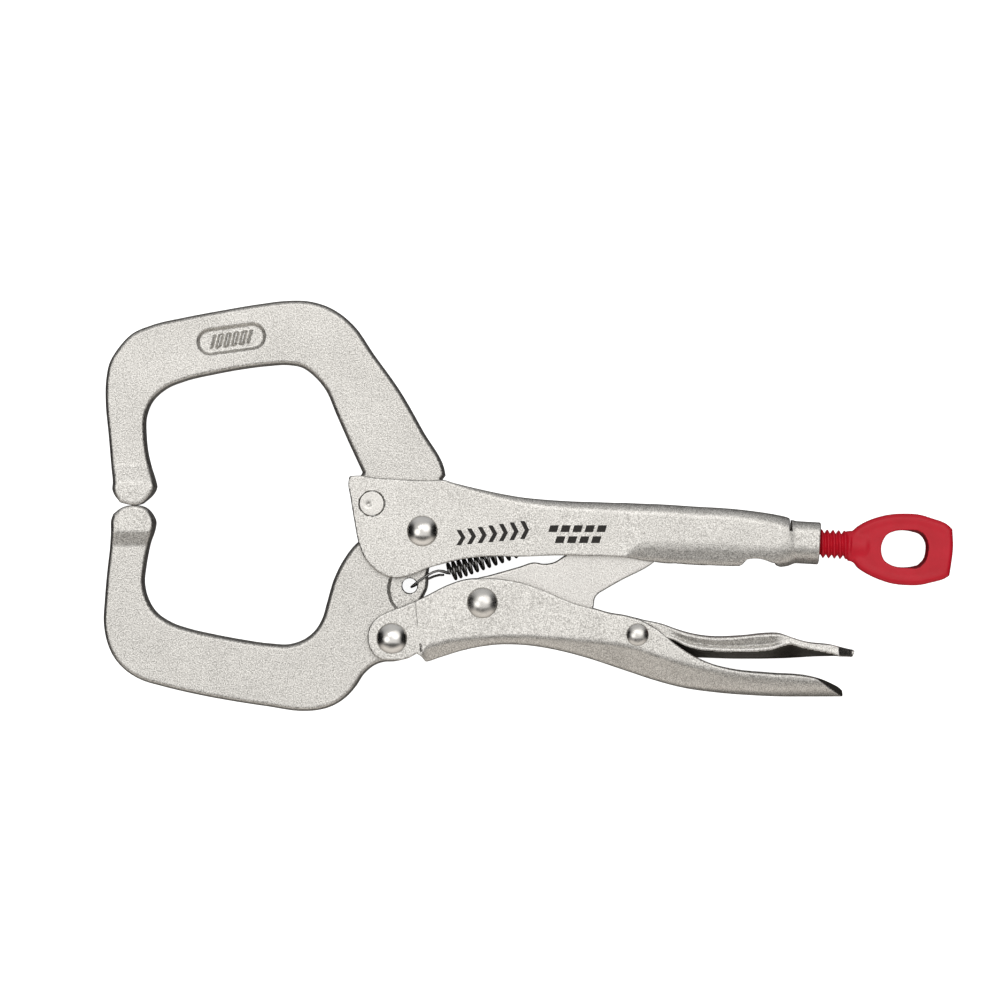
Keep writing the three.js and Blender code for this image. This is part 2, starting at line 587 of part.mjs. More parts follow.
// ---------- adjusting screw ----------
const threadStart = alongScrew(58.206);
const threadEnd = alongScrew(105.208);
const profile = [
  [threadStart, 0],
  [threadStart, SCREW_ROOT_R],
];
for (let x = threadStart + 0.5; x + SCREW_PITCH < threadEnd; x += SCREW_PITCH) {
  profile.push([x + 0.1, SCREW_ROOT_R]);
  profile.push([x + 1.0, SCREW_R]);
}
profile.push([threadEnd, SCREW_ROOT_R]);
profile.push([threadEnd + 0.1, SCREW_R]);
profile.push([threadEnd + 1.2, SCREW_R]);
profile.push([threadEnd + 1.6, SCREW_R - 1.4]);
profile.push([threadEnd + 1.6, 0]);
let screw = toSolid(onScrewAxis(turned(profile, 18)));
screw = screw.add(rounded(LOOP, LOOP_HALF, 0.8, 2, [LOOP_HOLE]));

// ---------- the screw's plain end ----------
const tip = toSolid(
  onScrewAxis(
    turned(
      [
        [alongScrew(52.579), 0],
        [alongScrew(52.579), TIP_R - 0.6],
        [alongScrew(52.579) + 0.6, TIP_R],
        [threadStart - 0.12, TIP_R],
        [threadStart - 0.12, 0],
      ],
      20,
    ),
  ),
);

// ---------- tension spring ----------
const springA = new THREE.Vector3(-26.199, -22.061, 0);
const springB = new THREE.Vector3(11.204, -8.457, 0);
const springDir = springB.clone().sub(springA);
const springLength = springDir.length();
springDir.normalize();
const springU = new THREE.Vector3(-springDir.y, springDir.x, 0);
const springW = new THREE.Vector3(0, 0, 1);
const path = [];
const hook = [
  new THREE.Vector3(-39.24, -26.662, -1.5),
  new THREE.Vector3(-39.207, -26.596, 2.2),
  new THREE.Vector3(-38.578, -26.066, 4.6),
  new THREE.Vector3(-36.46, -24.345, 4.9),
  new THREE.Vector3(-33.15, -22.624, 4.7),
  new THREE.Vector3(-29.84, -21.432, 4.1),
];
for (const p of hook) path.push(p);
const perTurn = 8;
const total = SPRING_TURNS * perTurn;
for (let i = 0; i <= total; i++) {
  const a = (2 * Math.PI * i) / perTurn + 0.6;
  const t = i / total;
  const s = springLength * (0.72 * t + 0.28 * t * t);
  path.push(
    springA
      .clone()
      .addScaledVector(springDir, s)
      .addScaledVector(springU, -SPRING_R * Math.cos(a + 0.6))
      .addScaledVector(springW, SPRING_R * Math.sin(a + 0.6)),
  );
}
for (const p of [new THREE.Vector3(13.852, -7.133, 0.4), new THREE.Vector3(15.507, -6.67, 0), new THREE.Vector3(18.155, -6.67, 0), new THREE.Vector3(19.016, -7.332, 0), new THREE.Vector3(19.148, -8.987, 0)]) path.push(p);
class Line3 extends THREE.Curve {
  constructor(points) {
    super();
    this.points = points;
  }
  getPoint(t, target = new THREE.Vector3()) {
    const f = t * (this.points.length - 1);
    const i = Math.min(Math.floor(f), this.points.length - 2);
    return target.copy(this.points[i]).lerp(this.points[i + 1], f - i);
  }
}
const tube = (points, r, sides) => {
  // rings carried along the wire with the least twist
  const rings = [];
  let normal = null;
  for (let i = 0; i < points.length; i++) {
    const a = points[Math.max(i - 1, 0)];
    const b = points[Math.min(i + 1, points.length - 1)];
    const t = b.clone().sub(a).normalize();
    if (!normal) normal = new THREE.Vector3(0, 1, 0);
    normal = normal.clone().addScaledVector(t, -normal.dot(t)).normalize();
    const side = new THREE.Vector3().crossVectors(t, normal);
    rings.push(
      [...Array(sides).keys()].map((k) => {
        const w = (2 * Math.PI * k) / sides;
        return points[i].clone().addScaledVector(normal, r * Math.cos(w)).addScaledVector(side, r * Math.sin(w));
      }),
    );
  }
  const p = [];
  const tri = (a, b, c) => p.push(a.x, a.y, a.z, b.x, b.y, b.z, c.x, c.y, c.z);
  for (let i = 0; i + 1 < rings.length; i++)
    for (let k = 0; k < sides; k++) {
      const a = rings[i][k];
      const b = rings[i][(k + 1) % sides];
      const c = rings[i + 1][(k + 1) % sides];
      const d = rings[i + 1][k];
      tri(a, b, c);
      tri(a, c, d);
    }
  const first = rings[0];
  const last = rings[rings.length - 1];
  for (let k = 0; k < sides; k++) {
    tri(points[0], first[(k + 1) % sides], first[k]);
    tri(points[points.length - 1], last[k], last[(k + 1) % sides]);
  }
  const g = new THREE.BufferGeometry();
  g.setAttribute("position", new THREE.BufferAttribute(new Float32Array(p), 3));
  return g;
};
const springGeometry = tube(path, SPRING_WIRE_R, 5);

// ---------- rivets and pin ----------
const anchor = toSolid(
  new THREE.LatheGeometry(
    [
      [-EAR_HALF, 0],
      [-EAR_HALF, ANCHOR_R - 0.4],
      [-EAR_HALF + 0.4, ANCHOR_R],
      [EAR_HALF - 0.4, ANCHOR_R],
      [EAR_HALF, ANCHOR_R - 0.4],
      [EAR_HALF, 0],
    ].map(([x, r]) => new THREE.Vector2(r, x)),
    32,
  )
    .rotateX(Math.PI / 2)
    .translate(ANCHOR[0], ANCHOR[1], 0),
);

// ---------- the part ----------
const colour = {
  plate: [0xc9c4bd, 0.42, 0.9],
  forged: [0xcfcac4, 0.5, 0.85],
  polished: [0xd9d8d6, 0.16, 1.0],
  dark: [0x3a3733, 0.4, 0.9],
  red: [0xb3202f, 0.38, 0.35],
};
const meshes = [
  ["upper_handle", toGeometry(handle), "plate"],
  ["upper_jaw", toGeometry(upperJaw), "forged"],
  ["lower_jaw", toGeometry(lowerJaw), "forged"],
  ["lower_lever", toGeometry(lever), "plate"],
  ["toggle_link", toGeometry(link), "plate"],
  ["release_lever", toGeometry(release), "plate"],
  ["adjusting_screw", toGeometry(screw), "red"],
  ["screw_tip", toGeometry(tip), "dark"],
  ["tension_spring", springGeometry, "dark"],
  ["jaw_anchor_pin", toGeometry(anchor), "plate"],
  ["jaw_pivot_rivet", toGeometry(domeRivet(JAW_PIVOT, RIVET_R, RIVET_DOME_R, RIVET_DOME_H, EAR_HALF)), "polished"],
  ["lever_pivot_rivet", toGeometry(domeRivet(LEVER_PIVOT, RIVET_R, RIVET_DOME_R, RIVET_DOME_H, EAR_HALF)), "polished"],
  ["link_pivot_rivet", toGeometry(domeRivet(LINK_PIVOT, RIVET_R, RIVET_DOME_R, RIVET_DOME_H, CHANNEL_HALF)), "polished"],
  ["release_pivot_rivet", toGeometry(domeRivet(RELEASE_PIVOT, RELEASE_PIN_R, RELEASE_DOME_R, RELEASE_DOME_H, CHANNEL_HALF + 0.4)), "polished"],
];

// the origin: centre of the outline in X and Y, lowest point in Z
const bounds = new THREE.Box3();
for (const [, g] of meshes) {
  g.computeBoundingBox();
  bounds.union(g.boundingBox);
}
const shift = new THREE.Vector3(
  -(bounds.min.x + bounds.max.x) / 2,
  -(bounds.min.y + bounds.max.y) / 2,
  -bounds.min.z,
);
const part = new THREE.Group();
part.name = "locking_c_clamp";
for (const [name, g, kind] of meshes) {
  g.translate(shift.x, shift.y, shift.z);
  const flat = g.index ? g.toNonIndexed() : g;
  flat.computeVertexNormals();
  const [hex, roughness, metalness] = colour[kind];
  const mesh = new THREE.Mesh(flat, new THREE.MeshStandardMaterial({ color: hex, roughness, metalness }));
  mesh.name = name;
  part.add(mesh);
}

export default part;
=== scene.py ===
import math

import bpy
import numpy as np
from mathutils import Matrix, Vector


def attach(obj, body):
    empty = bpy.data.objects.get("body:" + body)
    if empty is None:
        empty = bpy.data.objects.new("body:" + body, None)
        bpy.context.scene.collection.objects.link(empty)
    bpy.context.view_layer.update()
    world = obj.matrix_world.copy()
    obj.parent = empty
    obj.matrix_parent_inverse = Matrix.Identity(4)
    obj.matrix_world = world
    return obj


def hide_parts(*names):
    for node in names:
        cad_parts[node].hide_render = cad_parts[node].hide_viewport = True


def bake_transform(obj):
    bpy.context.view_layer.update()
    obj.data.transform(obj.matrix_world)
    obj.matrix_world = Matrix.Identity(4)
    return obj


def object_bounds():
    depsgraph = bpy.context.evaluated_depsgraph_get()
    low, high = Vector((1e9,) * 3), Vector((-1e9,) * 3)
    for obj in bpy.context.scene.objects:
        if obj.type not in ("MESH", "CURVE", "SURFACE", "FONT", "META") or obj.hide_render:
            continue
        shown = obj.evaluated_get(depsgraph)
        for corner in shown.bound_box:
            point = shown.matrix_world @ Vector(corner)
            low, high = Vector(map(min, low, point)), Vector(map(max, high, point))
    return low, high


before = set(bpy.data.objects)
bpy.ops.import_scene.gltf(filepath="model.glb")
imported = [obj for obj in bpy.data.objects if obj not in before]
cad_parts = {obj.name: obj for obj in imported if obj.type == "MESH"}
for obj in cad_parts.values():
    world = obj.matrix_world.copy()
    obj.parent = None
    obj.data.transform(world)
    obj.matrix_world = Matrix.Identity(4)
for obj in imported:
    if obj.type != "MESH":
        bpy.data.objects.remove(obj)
cad_low, cad_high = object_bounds()

# Lengths below are in millimetres, in the part's own frame, with z measured from the clamp's
# middle plane; meshes are written in metres.
ZC = 1000 * (cad_low.z + cad_high.z) / 2
SHEET = 2.2


# ------------------------------------------------------------------ fields
def curve(points, step=0.7, corner=34.0):
    """A closed smooth line through the points; points that turn by more than corner stay sharp."""
    p = np.array(points, float)
    n = len(p)
    q = np.roll(p, -1, 0)
    if (p[:, 0] * q[:, 1] - p[:, 1] * q[:, 0]).sum() < 0:
        p = p[::-1]
    seg = np.roll(p, -1, 0) - p
    length = np.hypot(*seg.T)
    unit = seg / length[:, None]
    back = np.roll(unit, 1, 0)
    turn = np.degrees(np.arccos(np.clip((unit * back).sum(1), -1, 1)))
    lb = np.roll(length, 1)
    mid = back * length[:, None] + unit * lb[:, None]
    mid /= np.hypot(*mid.T)[:, None]
    out = []
    for i in range(n):
        j = (i + 1) % n
        a = unit[i] if turn[i] > corner else mid[i]
        b = unit[i] if turn[j] > corner else mid[j]
        m = max(1, int(math.ceil(length[i] / step)))
        t = (np.arange(m) / m)[:, None]
        h00, h10 = 2 * t**3 - 3 * t**2 + 1, t**3 - 2 * t**2 + t
        h01, h11 = -2 * t**3 + 3 * t**2, t**3 - t**2
        out.append(h00 * p[i] + h10 * a * length[i] + h01 * p[j] + h11 * b * length[i])
    return np.concatenate(out)


class Flat:
    """Signed distance to a closed outline, negative inside, sampled on a fine grid."""

    def __init__(self, points, h=0.3, pad=5.0, smooth=True):
        c = curve(points) if smooth else np.array(points, float)
        self.lo = c.min(0) - pad
        self.h = h
        nx, ny = (np.ceil((c.max(0) + pad - self.lo) / h).astype(int) + 1)
        xs = self.lo[0] + h * np.arange(nx)
        ys = self.lo[1] + h * np.arange(ny)
        a, b = c, np.roll(c, -1, 0)
        d = b - a
        dd = (d * d).sum(1) + 1e-12
        best = np.full((nx, ny), 1e9, np.float32)
        X, Y = np.meshgrid(xs, ys, indexing="ij")
        X, Y = X.astype(np.float32), Y.astype(np.float32)
        near = pad + 3.0
        for k in range(len(c)):
            x0 = max(int((min(a[k, 0], b[k, 0]) - near - self.lo[0]) / h), 0)
            x1 = min(int((max(a[k, 0], b[k, 0]) + near - self.lo[0]) / h) + 2, nx)
            y0 = max(int((min(a[k, 1], b[k, 1]) - near - self.lo[1]) / h), 0)
            y1 = min(int((max(a[k, 1], b[k, 1]) + near - self.lo[1]) / h) + 2, ny)
            px, py = X[x0:x1, y0:y1] - a[k, 0], Y[x0:x1, y0:y1] - a[k, 1]
            t = np.clip((px * d[k, 0] + py * d[k, 1]) / dd[k], 0, 1)
            q = (px - t * d[k, 0]) ** 2 + (py - t * d[k, 1]) ** 2
            view = best[x0:x1, y0:y1]
            np.minimum(view, q, out=view)
        best = np.minimum(np.sqrt(best), near)
        inside = np.zeros((nx, ny), bool)
        for j, y in enumerate(ys):
            m = (a[:, 1] > y) != (b[:, 1] > y)
            cross = np.sort(a[m, 0] + (y - a[m, 1]) / (b[m, 1] - a[m, 1]) * (b[m, 0] - a[m, 0]))
            inside[:, j] = np.searchsorted(cross, xs) % 2 == 1
        self.g = np.where(inside, -best, best).astype(np.float64)

    def __call__(self, x, y):
        u = np.clip((x - self.lo[0]) / self.h, 0, self.g.shape[0] - 1.001)
        v = np.clip((y - self.lo[1]) / self.h, 0, self.g.shape[1] - 1.001)
        i, j = u.astype(int), v.astype(int)
        s, t = u - i, v - j
        g = self.g
        return (
            g[i, j] * (1 - s) * (1 - t)
            + g[i + 1, j] * s * (1 - t)
            + g[i, j + 1] * (1 - s) * t
            + g[i + 1, j + 1] * s * t
        )


def rmax(a, b, r):
    """What lies in both, with the shared edge rounded to r."""
    u, v = a + r, b + r
    return np.minimum(np.maximum(u, v), 0) + np.hypot(np.maximum(u, 0), np.maximum(v, 0)) - r


def rmin(a, b, r):
    """What lies in either, with a fillet of r between them."""
    return -rmax(-a, -b, r)


def step01(t):
    t = np.clip(t, 0, 1)
    return t * t * (3 - 2 * t)


def ramp01(t, soft=0.12):
    """A straight ramp from 0 to 1 with slightly rounded ends."""
    t = np.clip(t, -soft, 1 + soft)
    lo = np.where(t < soft, (t + soft) ** 2 / (4 * soft), t)
    return np.where(t > 1 - soft, 1 - (1 + soft - t) ** 2 / (4 * soft), lo)


class Track:
    """Smooth numbers along x, from rows of (x, a, b, c, ...)."""

    def __init__(self, rows):
        r = np.array(rows, float)
        self.x, self.v = r[:, 0], r[:, 1:]
        h = np.diff(self.x)[:, None]
        d = np.diff(self.v, axis=0) / h
        m = np.zeros_like(self.v)
        m[0], m[-1] = d[0], d[-1]
        same = d[:-1] * d[1:] > 0
        w = (h[:-1] + h[1:]) / 2
        m[1:-1] = np.where(same, (d[:-1] * h[1:] + d[1:] * h[:-1]) / (2 * w), 0)
        lim = 3 * np.minimum(np.abs(d[:-1]), np.abs(d[1:]))
        m[1:-1] = np.clip(m[1:-1], -lim, lim)
        self.m = m

    def __call__(self, x):
        x = np.clip(np.asarray(x, float), self.x[0], self.x[-1])
        i = np.clip(np.searchsorted(self.x, x) - 1, 0, len(self.x) - 2)
        h = self.x[i + 1] - self.x[i]
        t = (x - self.x[i]) / h
        out = []
        for k in range(self.v.shape[1]):
            v, m = self.v[:, k], self.m[:, k]
            out.append(
                (2 * t**3 - 3 * t**2 + 1) * v[i]
                + (t**3 - 2 * t**2 + t) * h * m[i]
                + (-2 * t**3 + 3 * t**2) * v[i + 1]
                + (t**3 - t**2) * h * m[i + 1]
            )
        return out


def tube_box(y, z, top, bottom, half, rt, rb):
    """Signed distance in a section: a rectangle with round corners, rt above and rb below."""
    yc, hh = (top + bottom) / 2, (top - bottom) / 2
    r = np.where(y > yc, rt, rb)
    qy, qz = np.abs(y - yc) - hh + r, np.abs(z) - half + r
    return np.minimum(np.maximum(qy, qz), 0) + np.hypot(np.maximum(qy, 0), np.maximum(qz, 0)) - r


def disc(x, y, c):
    return np.hypot(x - c[0], y - c[1])


# ------------------------------------------------------------------ surfaces
def surface(name, field, low, high, h, body, nodes, material, painted_shade=None):
    """The zero surface of field as a mesh whose vertices lie on it and whose normals are its own."""
    low, high = np.array(low, float), np.array(high, float)
    h = np.array([h] * 3 if np.isscalar(h) else h, float)
    n = np.ceil((high - low) / h).astype(int) + 1
    gx, gy, gz = (low[k] + h[k] * np.arange(n[k]) for k in range(3))
    f = np.empty(n, np.float32)
    for a in range(0, n[0], 64):
        x = gx[a : a + 64, None, None]
        f[a : a + 64] = field(x, gy[None, :, None], gz[None, None, :])
    f[[0, -1]] = np.maximum(f[[0, -1]], 0.01)
    f[:, [0, -1]] = np.maximum(f[:, [0, -1]], 0.01)
    f[:, :, [0, -1]] = np.maximum(f[:, :, [0, -1]], 0.01)
    s = f < 0
    cnt = np.zeros(n - 1, np.int8)
    for i in (0, 1):
        for j in (0, 1):
            for k in (0, 1):
                cnt += s[i : n[0] - 1 + i, j : n[1] - 1 + j, k : n[2] - 1 + k]
    active = (cnt > 0) & (cnt < 8)
    cells = np.argwhere(active)
    index = np.full(active.shape, -1, np.int64)
    index[active] = np.arange(len(cells))
    pos = np.zeros((len(cells), 3))
    wsum = np.zeros(len(cells))
    corners = [(i, j, k) for i in (0, 1) for j in (0, 1) for k in (0, 1)]
    value = {c: f[cells[:, 0] + c[0], cells[:, 1] + c[1], cells[:, 2] + c[2]].astype(float) for c in corners}
    for c in corners:
        for ax in range(3):
            if c[ax] == 0:
                e = list(c)
                e[ax] = 1
                fa, fb = value[c], value[tuple(e)]
                m = (fa < 0) != (fb < 0)
                t = fa[m] / (fa[m] - fb[m])
                q = np.tile(np.array(c, float), (m.sum(), 1))
                q[:, ax] += t
                pos[m] += q
                wsum[m] += 1
    v = low + h * (cells + pos / wsum[:, None])
    quads = []
    ix = index
    for ax, (p, q) in ((0, (1, 2)), (1, (2, 0)), (2, (0, 1))):
        lo_s = np.take(s, range(0, n[ax] - 1), ax)
        hi_s = np.take(s, range(1, n[ax]), ax)
        change = np.argwhere(lo_s != hi_s)
        ok = (change[:, p] > 0) & (change[:, p] < n[p] - 1) & (change[:, q] > 0) & (change[:, q] < n[q] - 1)
        change = change[ok]
        out = lo_s[tuple(change.T)]

        def cell(dp, dq):
            c = change.copy()
            c[:, p] += dp
            c[:, q] += dq
            return ix[tuple(c.T)]

        a, b, c_, d = cell(-1, -1), cell(0, -1), cell(0, 0), cell(-1, 0)
        quads.append(np.where(out[:, None], np.stack([a, b, c_, d], 1), np.stack([d, c_, b, a], 1)))
    quads = np.concatenate(quads)
    quads = quads[(quads >= 0).all(1)]

    def gradient(v, e):
        g = np.empty_like(v)
        for k in range(3):
            o = np.zeros(3)
            o[k] = e
            up, dn = v + o, v - o
            g[:, k] = (field(*up.T) - field(*dn.T)) / (2 * e)
        return g

    for _ in range(3):
        g = gradient(v, 0.12)
        g2 = np.maximum((g * g).sum(1), 0.05)
        move = -(field(*v.T) / g2)[:, None] * g
        size = np.linalg.norm(move, axis=1, keepdims=True)
        v = v + move * np.minimum(1, 0.5 * h.min() / np.maximum(size, 1e-9))
    g = gradient(v, 0.16)
    normal = g / np.maximum(np.linalg.norm(g, axis=1, keepdims=True), 1e-9)
    v = v / 1000
    v[:, 2] += ZC / 1000
    ob = finish_mesh(name, v, quads, normal, body, nodes, material)
    if painted_shade:
        # painted shade: a second, darker material where its rule holds, judged at each face's centre
        painted_shade_material, rule = painted_shade
        ob.data.materials.append(painted_shade_material)
        c = np.empty(3 * len(ob.data.polygons))
        ob.data.polygons.foreach_get("center", c)
        c = c.reshape(-1, 3) * 1000
        which = rule(c[:, 0], c[:, 1], c[:, 2] - ZC).astype(np.int32)
        ob.data.polygons.foreach_set("material_index", which)
    return ob


def finish_mesh(name, v, faces, normal, body, nodes, material):
    mesh = bpy.data.meshes.new(name)
    size = faces.shape[1]
    mesh.vertices.add(len(v))
    mesh.vertices.foreach_set("co", np.asarray(v, np.float32).ravel())
    mesh.loops.add(faces.size)
    mesh.loops.foreach_set("vertex_index", np.asarray(faces, np.int32).ravel())
    mesh.polygons.add(len(faces))
    mesh.polygons.foreach_set("loop_start", np.arange(0, faces.size, size, dtype=np.int32))
    mesh.update(calc_edges=True)
    mesh.validate()
    mesh.polygons.foreach_set("use_smooth", np.ones(len(mesh.polygons), bool))
    if normal is not None and len(mesh.vertices) == len(normal):
        mesh.normals_split_custom_set_from_vertices([tuple(x) for x in normal])
    ob = bpy.data.objects.new(name, mesh)
    bpy.context.scene.collection.objects.link(ob)
    mesh.materials.append(material)
    if body:
        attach(ob, body)
    if nodes:
        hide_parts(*nodes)
    return ob


def lathe(name, profile, around, centre, axis, body, nodes, material, sharp=35.0):
    """A turned piece: profile rows of (along, radius), from axis point to axis point."""
    prof = np.array(profile, float)
    axis = Vector(axis).normalized()
    u = axis.orthogonal().normalized()
    w = axis.cross(u)
    ang = np.linspace(0, 2 * np.pi, around, endpoint=False)
    ring = np.cos(ang)[:, None] * np.array(u) + np.sin(ang)[:, None] * np.array(w)
    mid = prof[1:-1]
    v = (mid[:, 0, None, None] * np.array(axis) + mid[:, 1, None, None] * ring[None]).reshape(-1, 3)
    first, last = prof[0, 0] * np.array(axis), prof[-1, 0] * np.array(axis)
    v = np.vstack([v, first, last]) + np.array(centre)
    m = len(mid)
    faces = []
    for i in range(m - 1):
        for k in range(around):
            j = (k + 1) % around
            faces.append((i * around + k, i * around + j, (i + 1) * around + j, (i + 1) * around + k))
    c0, c1 = m * around, m * around + 1
    tri = [(c0, (k + 1) % around, k) for k in range(around)]
    tri += [(c1, (m - 1) * around + k, (m - 1) * around + (k + 1) % around) for k in range(around)]
    mesh = bpy.data.meshes.new(name)
    v = v / 1000
    v[:, 2] += ZC / 1000
    mesh.from_pydata([tuple(x) for x in v], [], faces + tri)
    mesh.validate()
    mesh.update()
    import bmesh

    bm = bmesh.new()
    bm.from_mesh(mesh)
    bmesh.ops.recalc_face_normals(bm, faces=bm.faces)
    for e in bm.edges:
        if len(e.link_faces) == 2 and e.calc_face_angle(0) > math.radians(sharp):
            e.smooth = False
    for f in bm.faces:
        f.smooth = True
    bm.to_mesh(mesh)
    bm.free()
    ob = bpy.data.objects.new(name, mesh)
    bpy.context.scene.collection.objects.link(ob)
    mesh.materials.append(material)
    if body:
        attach(ob, body)
    if nodes:
        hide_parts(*nodes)
    return ob


# ------------------------------------------------------------------ materials
def tree(name):
    m = bpy.data.materials.new(name)
    m.use_nodes = True
    t = m.node_tree
    t.nodes.clear()
    out = t.nodes.new("ShaderNodeOutputMaterial")
    p = t.nodes.new("ShaderNodeBsdfPrincipled")
    t.links.new(p.outputs[0], out.inputs[0])
    return m, t, p


def noise(t, where, scale, detail=3.0, rough=0.5, kind="ShaderNodeTexNoise"):
    n = t.nodes.new(kind)
    t.links.new(where, n.inputs["Vector"])
    n.inputs["Scale"].default_value = scale
    if "Detail" in n.inputs:
        n.inputs["Detail"].default_value = detail
    if "Roughness" in n.inputs:
        n.inputs["Roughness"].default_value = rough
    return n


def mapped(t, value, a, b, c, d):
    r = t.nodes.new("ShaderNodeMapRange")
    t.links.new(value, r.inputs["Value"])
    for k, x in zip(("From Min", "From Max", "To Min", "To Max"), (a, b, c, d)):
        r.inputs[k].default_value = x
    return r.outputs["Result"]


def mix_colour(t, fac, a, b):
    m = t.nodes.new("ShaderNodeMix")
    m.data_type = "RGBA"
    if isinstance(fac, (int, float)):
        m.inputs[0].default_value = fac
    else:
        t.links.new(fac, m.inputs[0])
    for socket, x in ((m.inputs[6], a), (m.inputs[7], b)):
        if isinstance(x, (tuple, list)):
            socket.default_value = (*x, 1)
        else:
            t.links.new(x, socket)
    return m.outputs[2]


def math_node(t, op, a, b=None):
    m = t.nodes.new("ShaderNodeMath")
    m.operation = op
    for k, x in enumerate((a, b)):
        if x is None:
            continue
        if isinstance(x, (int, float)):
            m.inputs[k].default_value = x
        else:
            t.links.new(x, m.inputs[k])
    return m.outputs[0]


def bump(t, heights, normal=None):
    """Bumps stacked on each other: rows of (height socket, strength, distance in metres)."""
    for height, strength, distance in heights:
        b = t.nodes.new("ShaderNodeBump")
        b.inputs["Strength"].default_value = strength
        b.inputs["Distance"].default_value = distance
        t.links.new(height, b.inputs["Height"])
        if normal is not None:
            t.links.new(normal, b.inputs["Normal"])
        normal = b.outputs["Normal"]
    return normal


def plated(name, light, dark, rough=(0.34, 0.5), grain=0.5, grain_size=0.34, wear=0.5):
    """Satin nickel plate over a blasted surface: fine grains, a few pits, brighter edges."""
    m, t, p = tree(name)
    co = t.nodes.new("ShaderNodeTexCoord").outputs["Object"]
    fine = noise(t, co, 1000 / grain_size, 1.5, 0.5)
    mid = noise(t, co, 1000 / (grain_size * 3.2), 2.0, 0.55)
    broad = noise(t, co, 55, 2.0, 0.5)
    cells = noise(t, co, 1000 / (grain_size * 2.1), kind="ShaderNodeTexVoronoi")
    tone = math_node(t, "ADD", mapped(t, fine.outputs["Fac"], 0.32, 0.68, 0.0, 0.72), mapped(t, mid.outputs["Fac"], 0.3, 0.7, 0.0, 0.2))
    tone = math_node(t, "ADD", tone, mapped(t, broad.outputs["Fac"], 0.3, 0.7, 0.0, 0.08))
    colour = mix_colour(t, tone, dark, light)
    pits = mapped(t, mid.outputs["Fac"], 0.69, 0.75, 0.0, 0.45)
    colour = mix_colour(t, pits, colour, tuple(0.5 * x for x in dark))
    point = t.nodes.new("ShaderNodeNewGeometry").outputs["Pointiness"]
    edge = mapped(t, point, 0.52, 0.6, 0.0, wear)
    colour = mix_colour(t, edge, colour, tuple(min(1, 1.12 * x) for x in light))
    t.links.new(colour, p.inputs["Base Color"])
    p.inputs["Metallic"].default_value = 1.0
    r = math_node(t, "ADD", mapped(t, mid.outputs["Fac"], 0.3, 0.7, rough[0], rough[1]), mapped(t, fine.outputs["Fac"], 0.3, 0.7, -0.05, 0.05))
    t.links.new(r, p.inputs["Roughness"])
    n = bump(
        t,
        [
            (cells.outputs["Distance"], 0.30 * grain, 0.00016),
            (fine.outputs["Fac"], 0.8 * grain, 0.00010),
        ],
    )
    t.links.new(n, p.inputs["Normal"])
    return m


def chrome(name, colour, rough):
    m, t, p = tree(name)
    co = t.nodes.new("ShaderNodeTexCoord").outputs["Object"]
    swirl = noise(t, co, 900, 3.0, 0.6)
    broad = noise(t, co, 260, 2.0, 0.5)
    c = mix_colour(t, mapped(t, broad.outputs["Fac"], 0.3, 0.7, 0, 1), tuple(0.9 * x for x in colour), colour)
    t.links.new(c, p.inputs["Base Color"])
    p.inputs["Metallic"].default_value = 1.0
    t.links.new(mapped(t, swirl.outputs["Fac"], 0.3, 0.7, rough * 0.75, rough * 1.35), p.inputs["Roughness"])
    t.links.new(bump(t, [(swirl.outputs["Fac"], 0.06, 0.0002), (broad.outputs["Fac"], 0.10, 0.0006)]), p.inputs["Normal"])
    return m


def red_coat(name, dark, light):
    m, t, p = tree(name)
    co = t.nodes.new("ShaderNodeTexCoord").outputs["Object"]
    fine = noise(t, co, 1700, 2.0, 0.55)
    broad = noise(t, co, 160, 3.0, 0.5)
    c = mix_colour(t, mapped(t, broad.outputs["Fac"], 0.3, 0.7, 0, 1), dark, light)
    t.links.new(c, p.inputs["Base Color"])
    p.inputs["Metallic"].default_value = 0.0
    p.inputs["Specular IOR Level"].default_value = 0.32
    t.links.new(mapped(t, fine.outputs["Fac"], 0.3, 0.7, 0.34, 0.48), p.inputs["Roughness"])
    t.links.new(bump(t, [(broad.outputs["Fac"], 0.15, 0.0005), (fine.outputs["Fac"], 0.2, 0.0001)]), p.inputs["Normal"])
    return m


def ink(name):
    m, t, p = tree(name)
    co = t.nodes.new("ShaderNodeTexCoord").outputs["Object"]
    fine = noise(t, co, 2600, 2.0, 0.55)
    c = mix_colour(t, mapped(t, fine.outputs["Fac"], 0.3, 0.72, 0, 1), (0.012, 0.011, 0.010), (0.045, 0.042, 0.038))
    t.links.new(c, p.inputs["Base Color"])
    p.inputs["Specular IOR Level"].default_value = 0.25
    t.links.new(mapped(t, fine.outputs["Fac"], 0.3, 0.7, 0.5, 0.7), p.inputs["Roughness"])
    t.links.new(bump(t, [(fine.outputs["Fac"], 0.2, 0.0001)]), p.inputs["Normal"])
    return m


M_SHEET = plated("satin_plate_on_sheet", (0.97, 0.95, 0.91), (0.28, 0.268, 0.25), (0.33, 0.45), 0.62, 0.37, 0.15)
M_FORGED = plated("satin_plate_on_forging", (0.97, 0.948, 0.908), (0.235, 0.226, 0.21), (0.35, 0.48), 0.8, 0.38, 0.15)
M_LINK = plated("satin_plate_on_link", (0.95, 0.93, 0.895), (0.36, 0.345, 0.325), (0.35, 0.46), 0.6, 0.37, 0.15)
M_PIN = plated("ground_pin", (0.82, 0.80, 0.765), (0.52, 0.505, 0.48), (0.28, 0.4), 0.5, 0.34, 0.15)
M_CHROME = chrome("polished_rivet", (0.78, 0.76, 0.73), 0.165)
M_CHROME_SOFT = chrome("tumbled_rivet", (0.74, 0.72, 0.69), 0.25)
M_SPRING = chrome("dark_spring_wire", (0.22, 0.216, 0.21), 0.22)
M_DARK = chrome("dark_screw_end", (0.16, 0.155, 0.15), 0.35)
# painted shade: a dark plate colour that stands in for the shade under the release lever's walls and on the lower
# lever's sheared end
M_PAINTED_SHADE = plated("painted_shade_channel", (0.19, 0.172, 0.15), (0.06, 0.054, 0.047), (0.42, 0.55), 0.5, 0.37, 0.0)
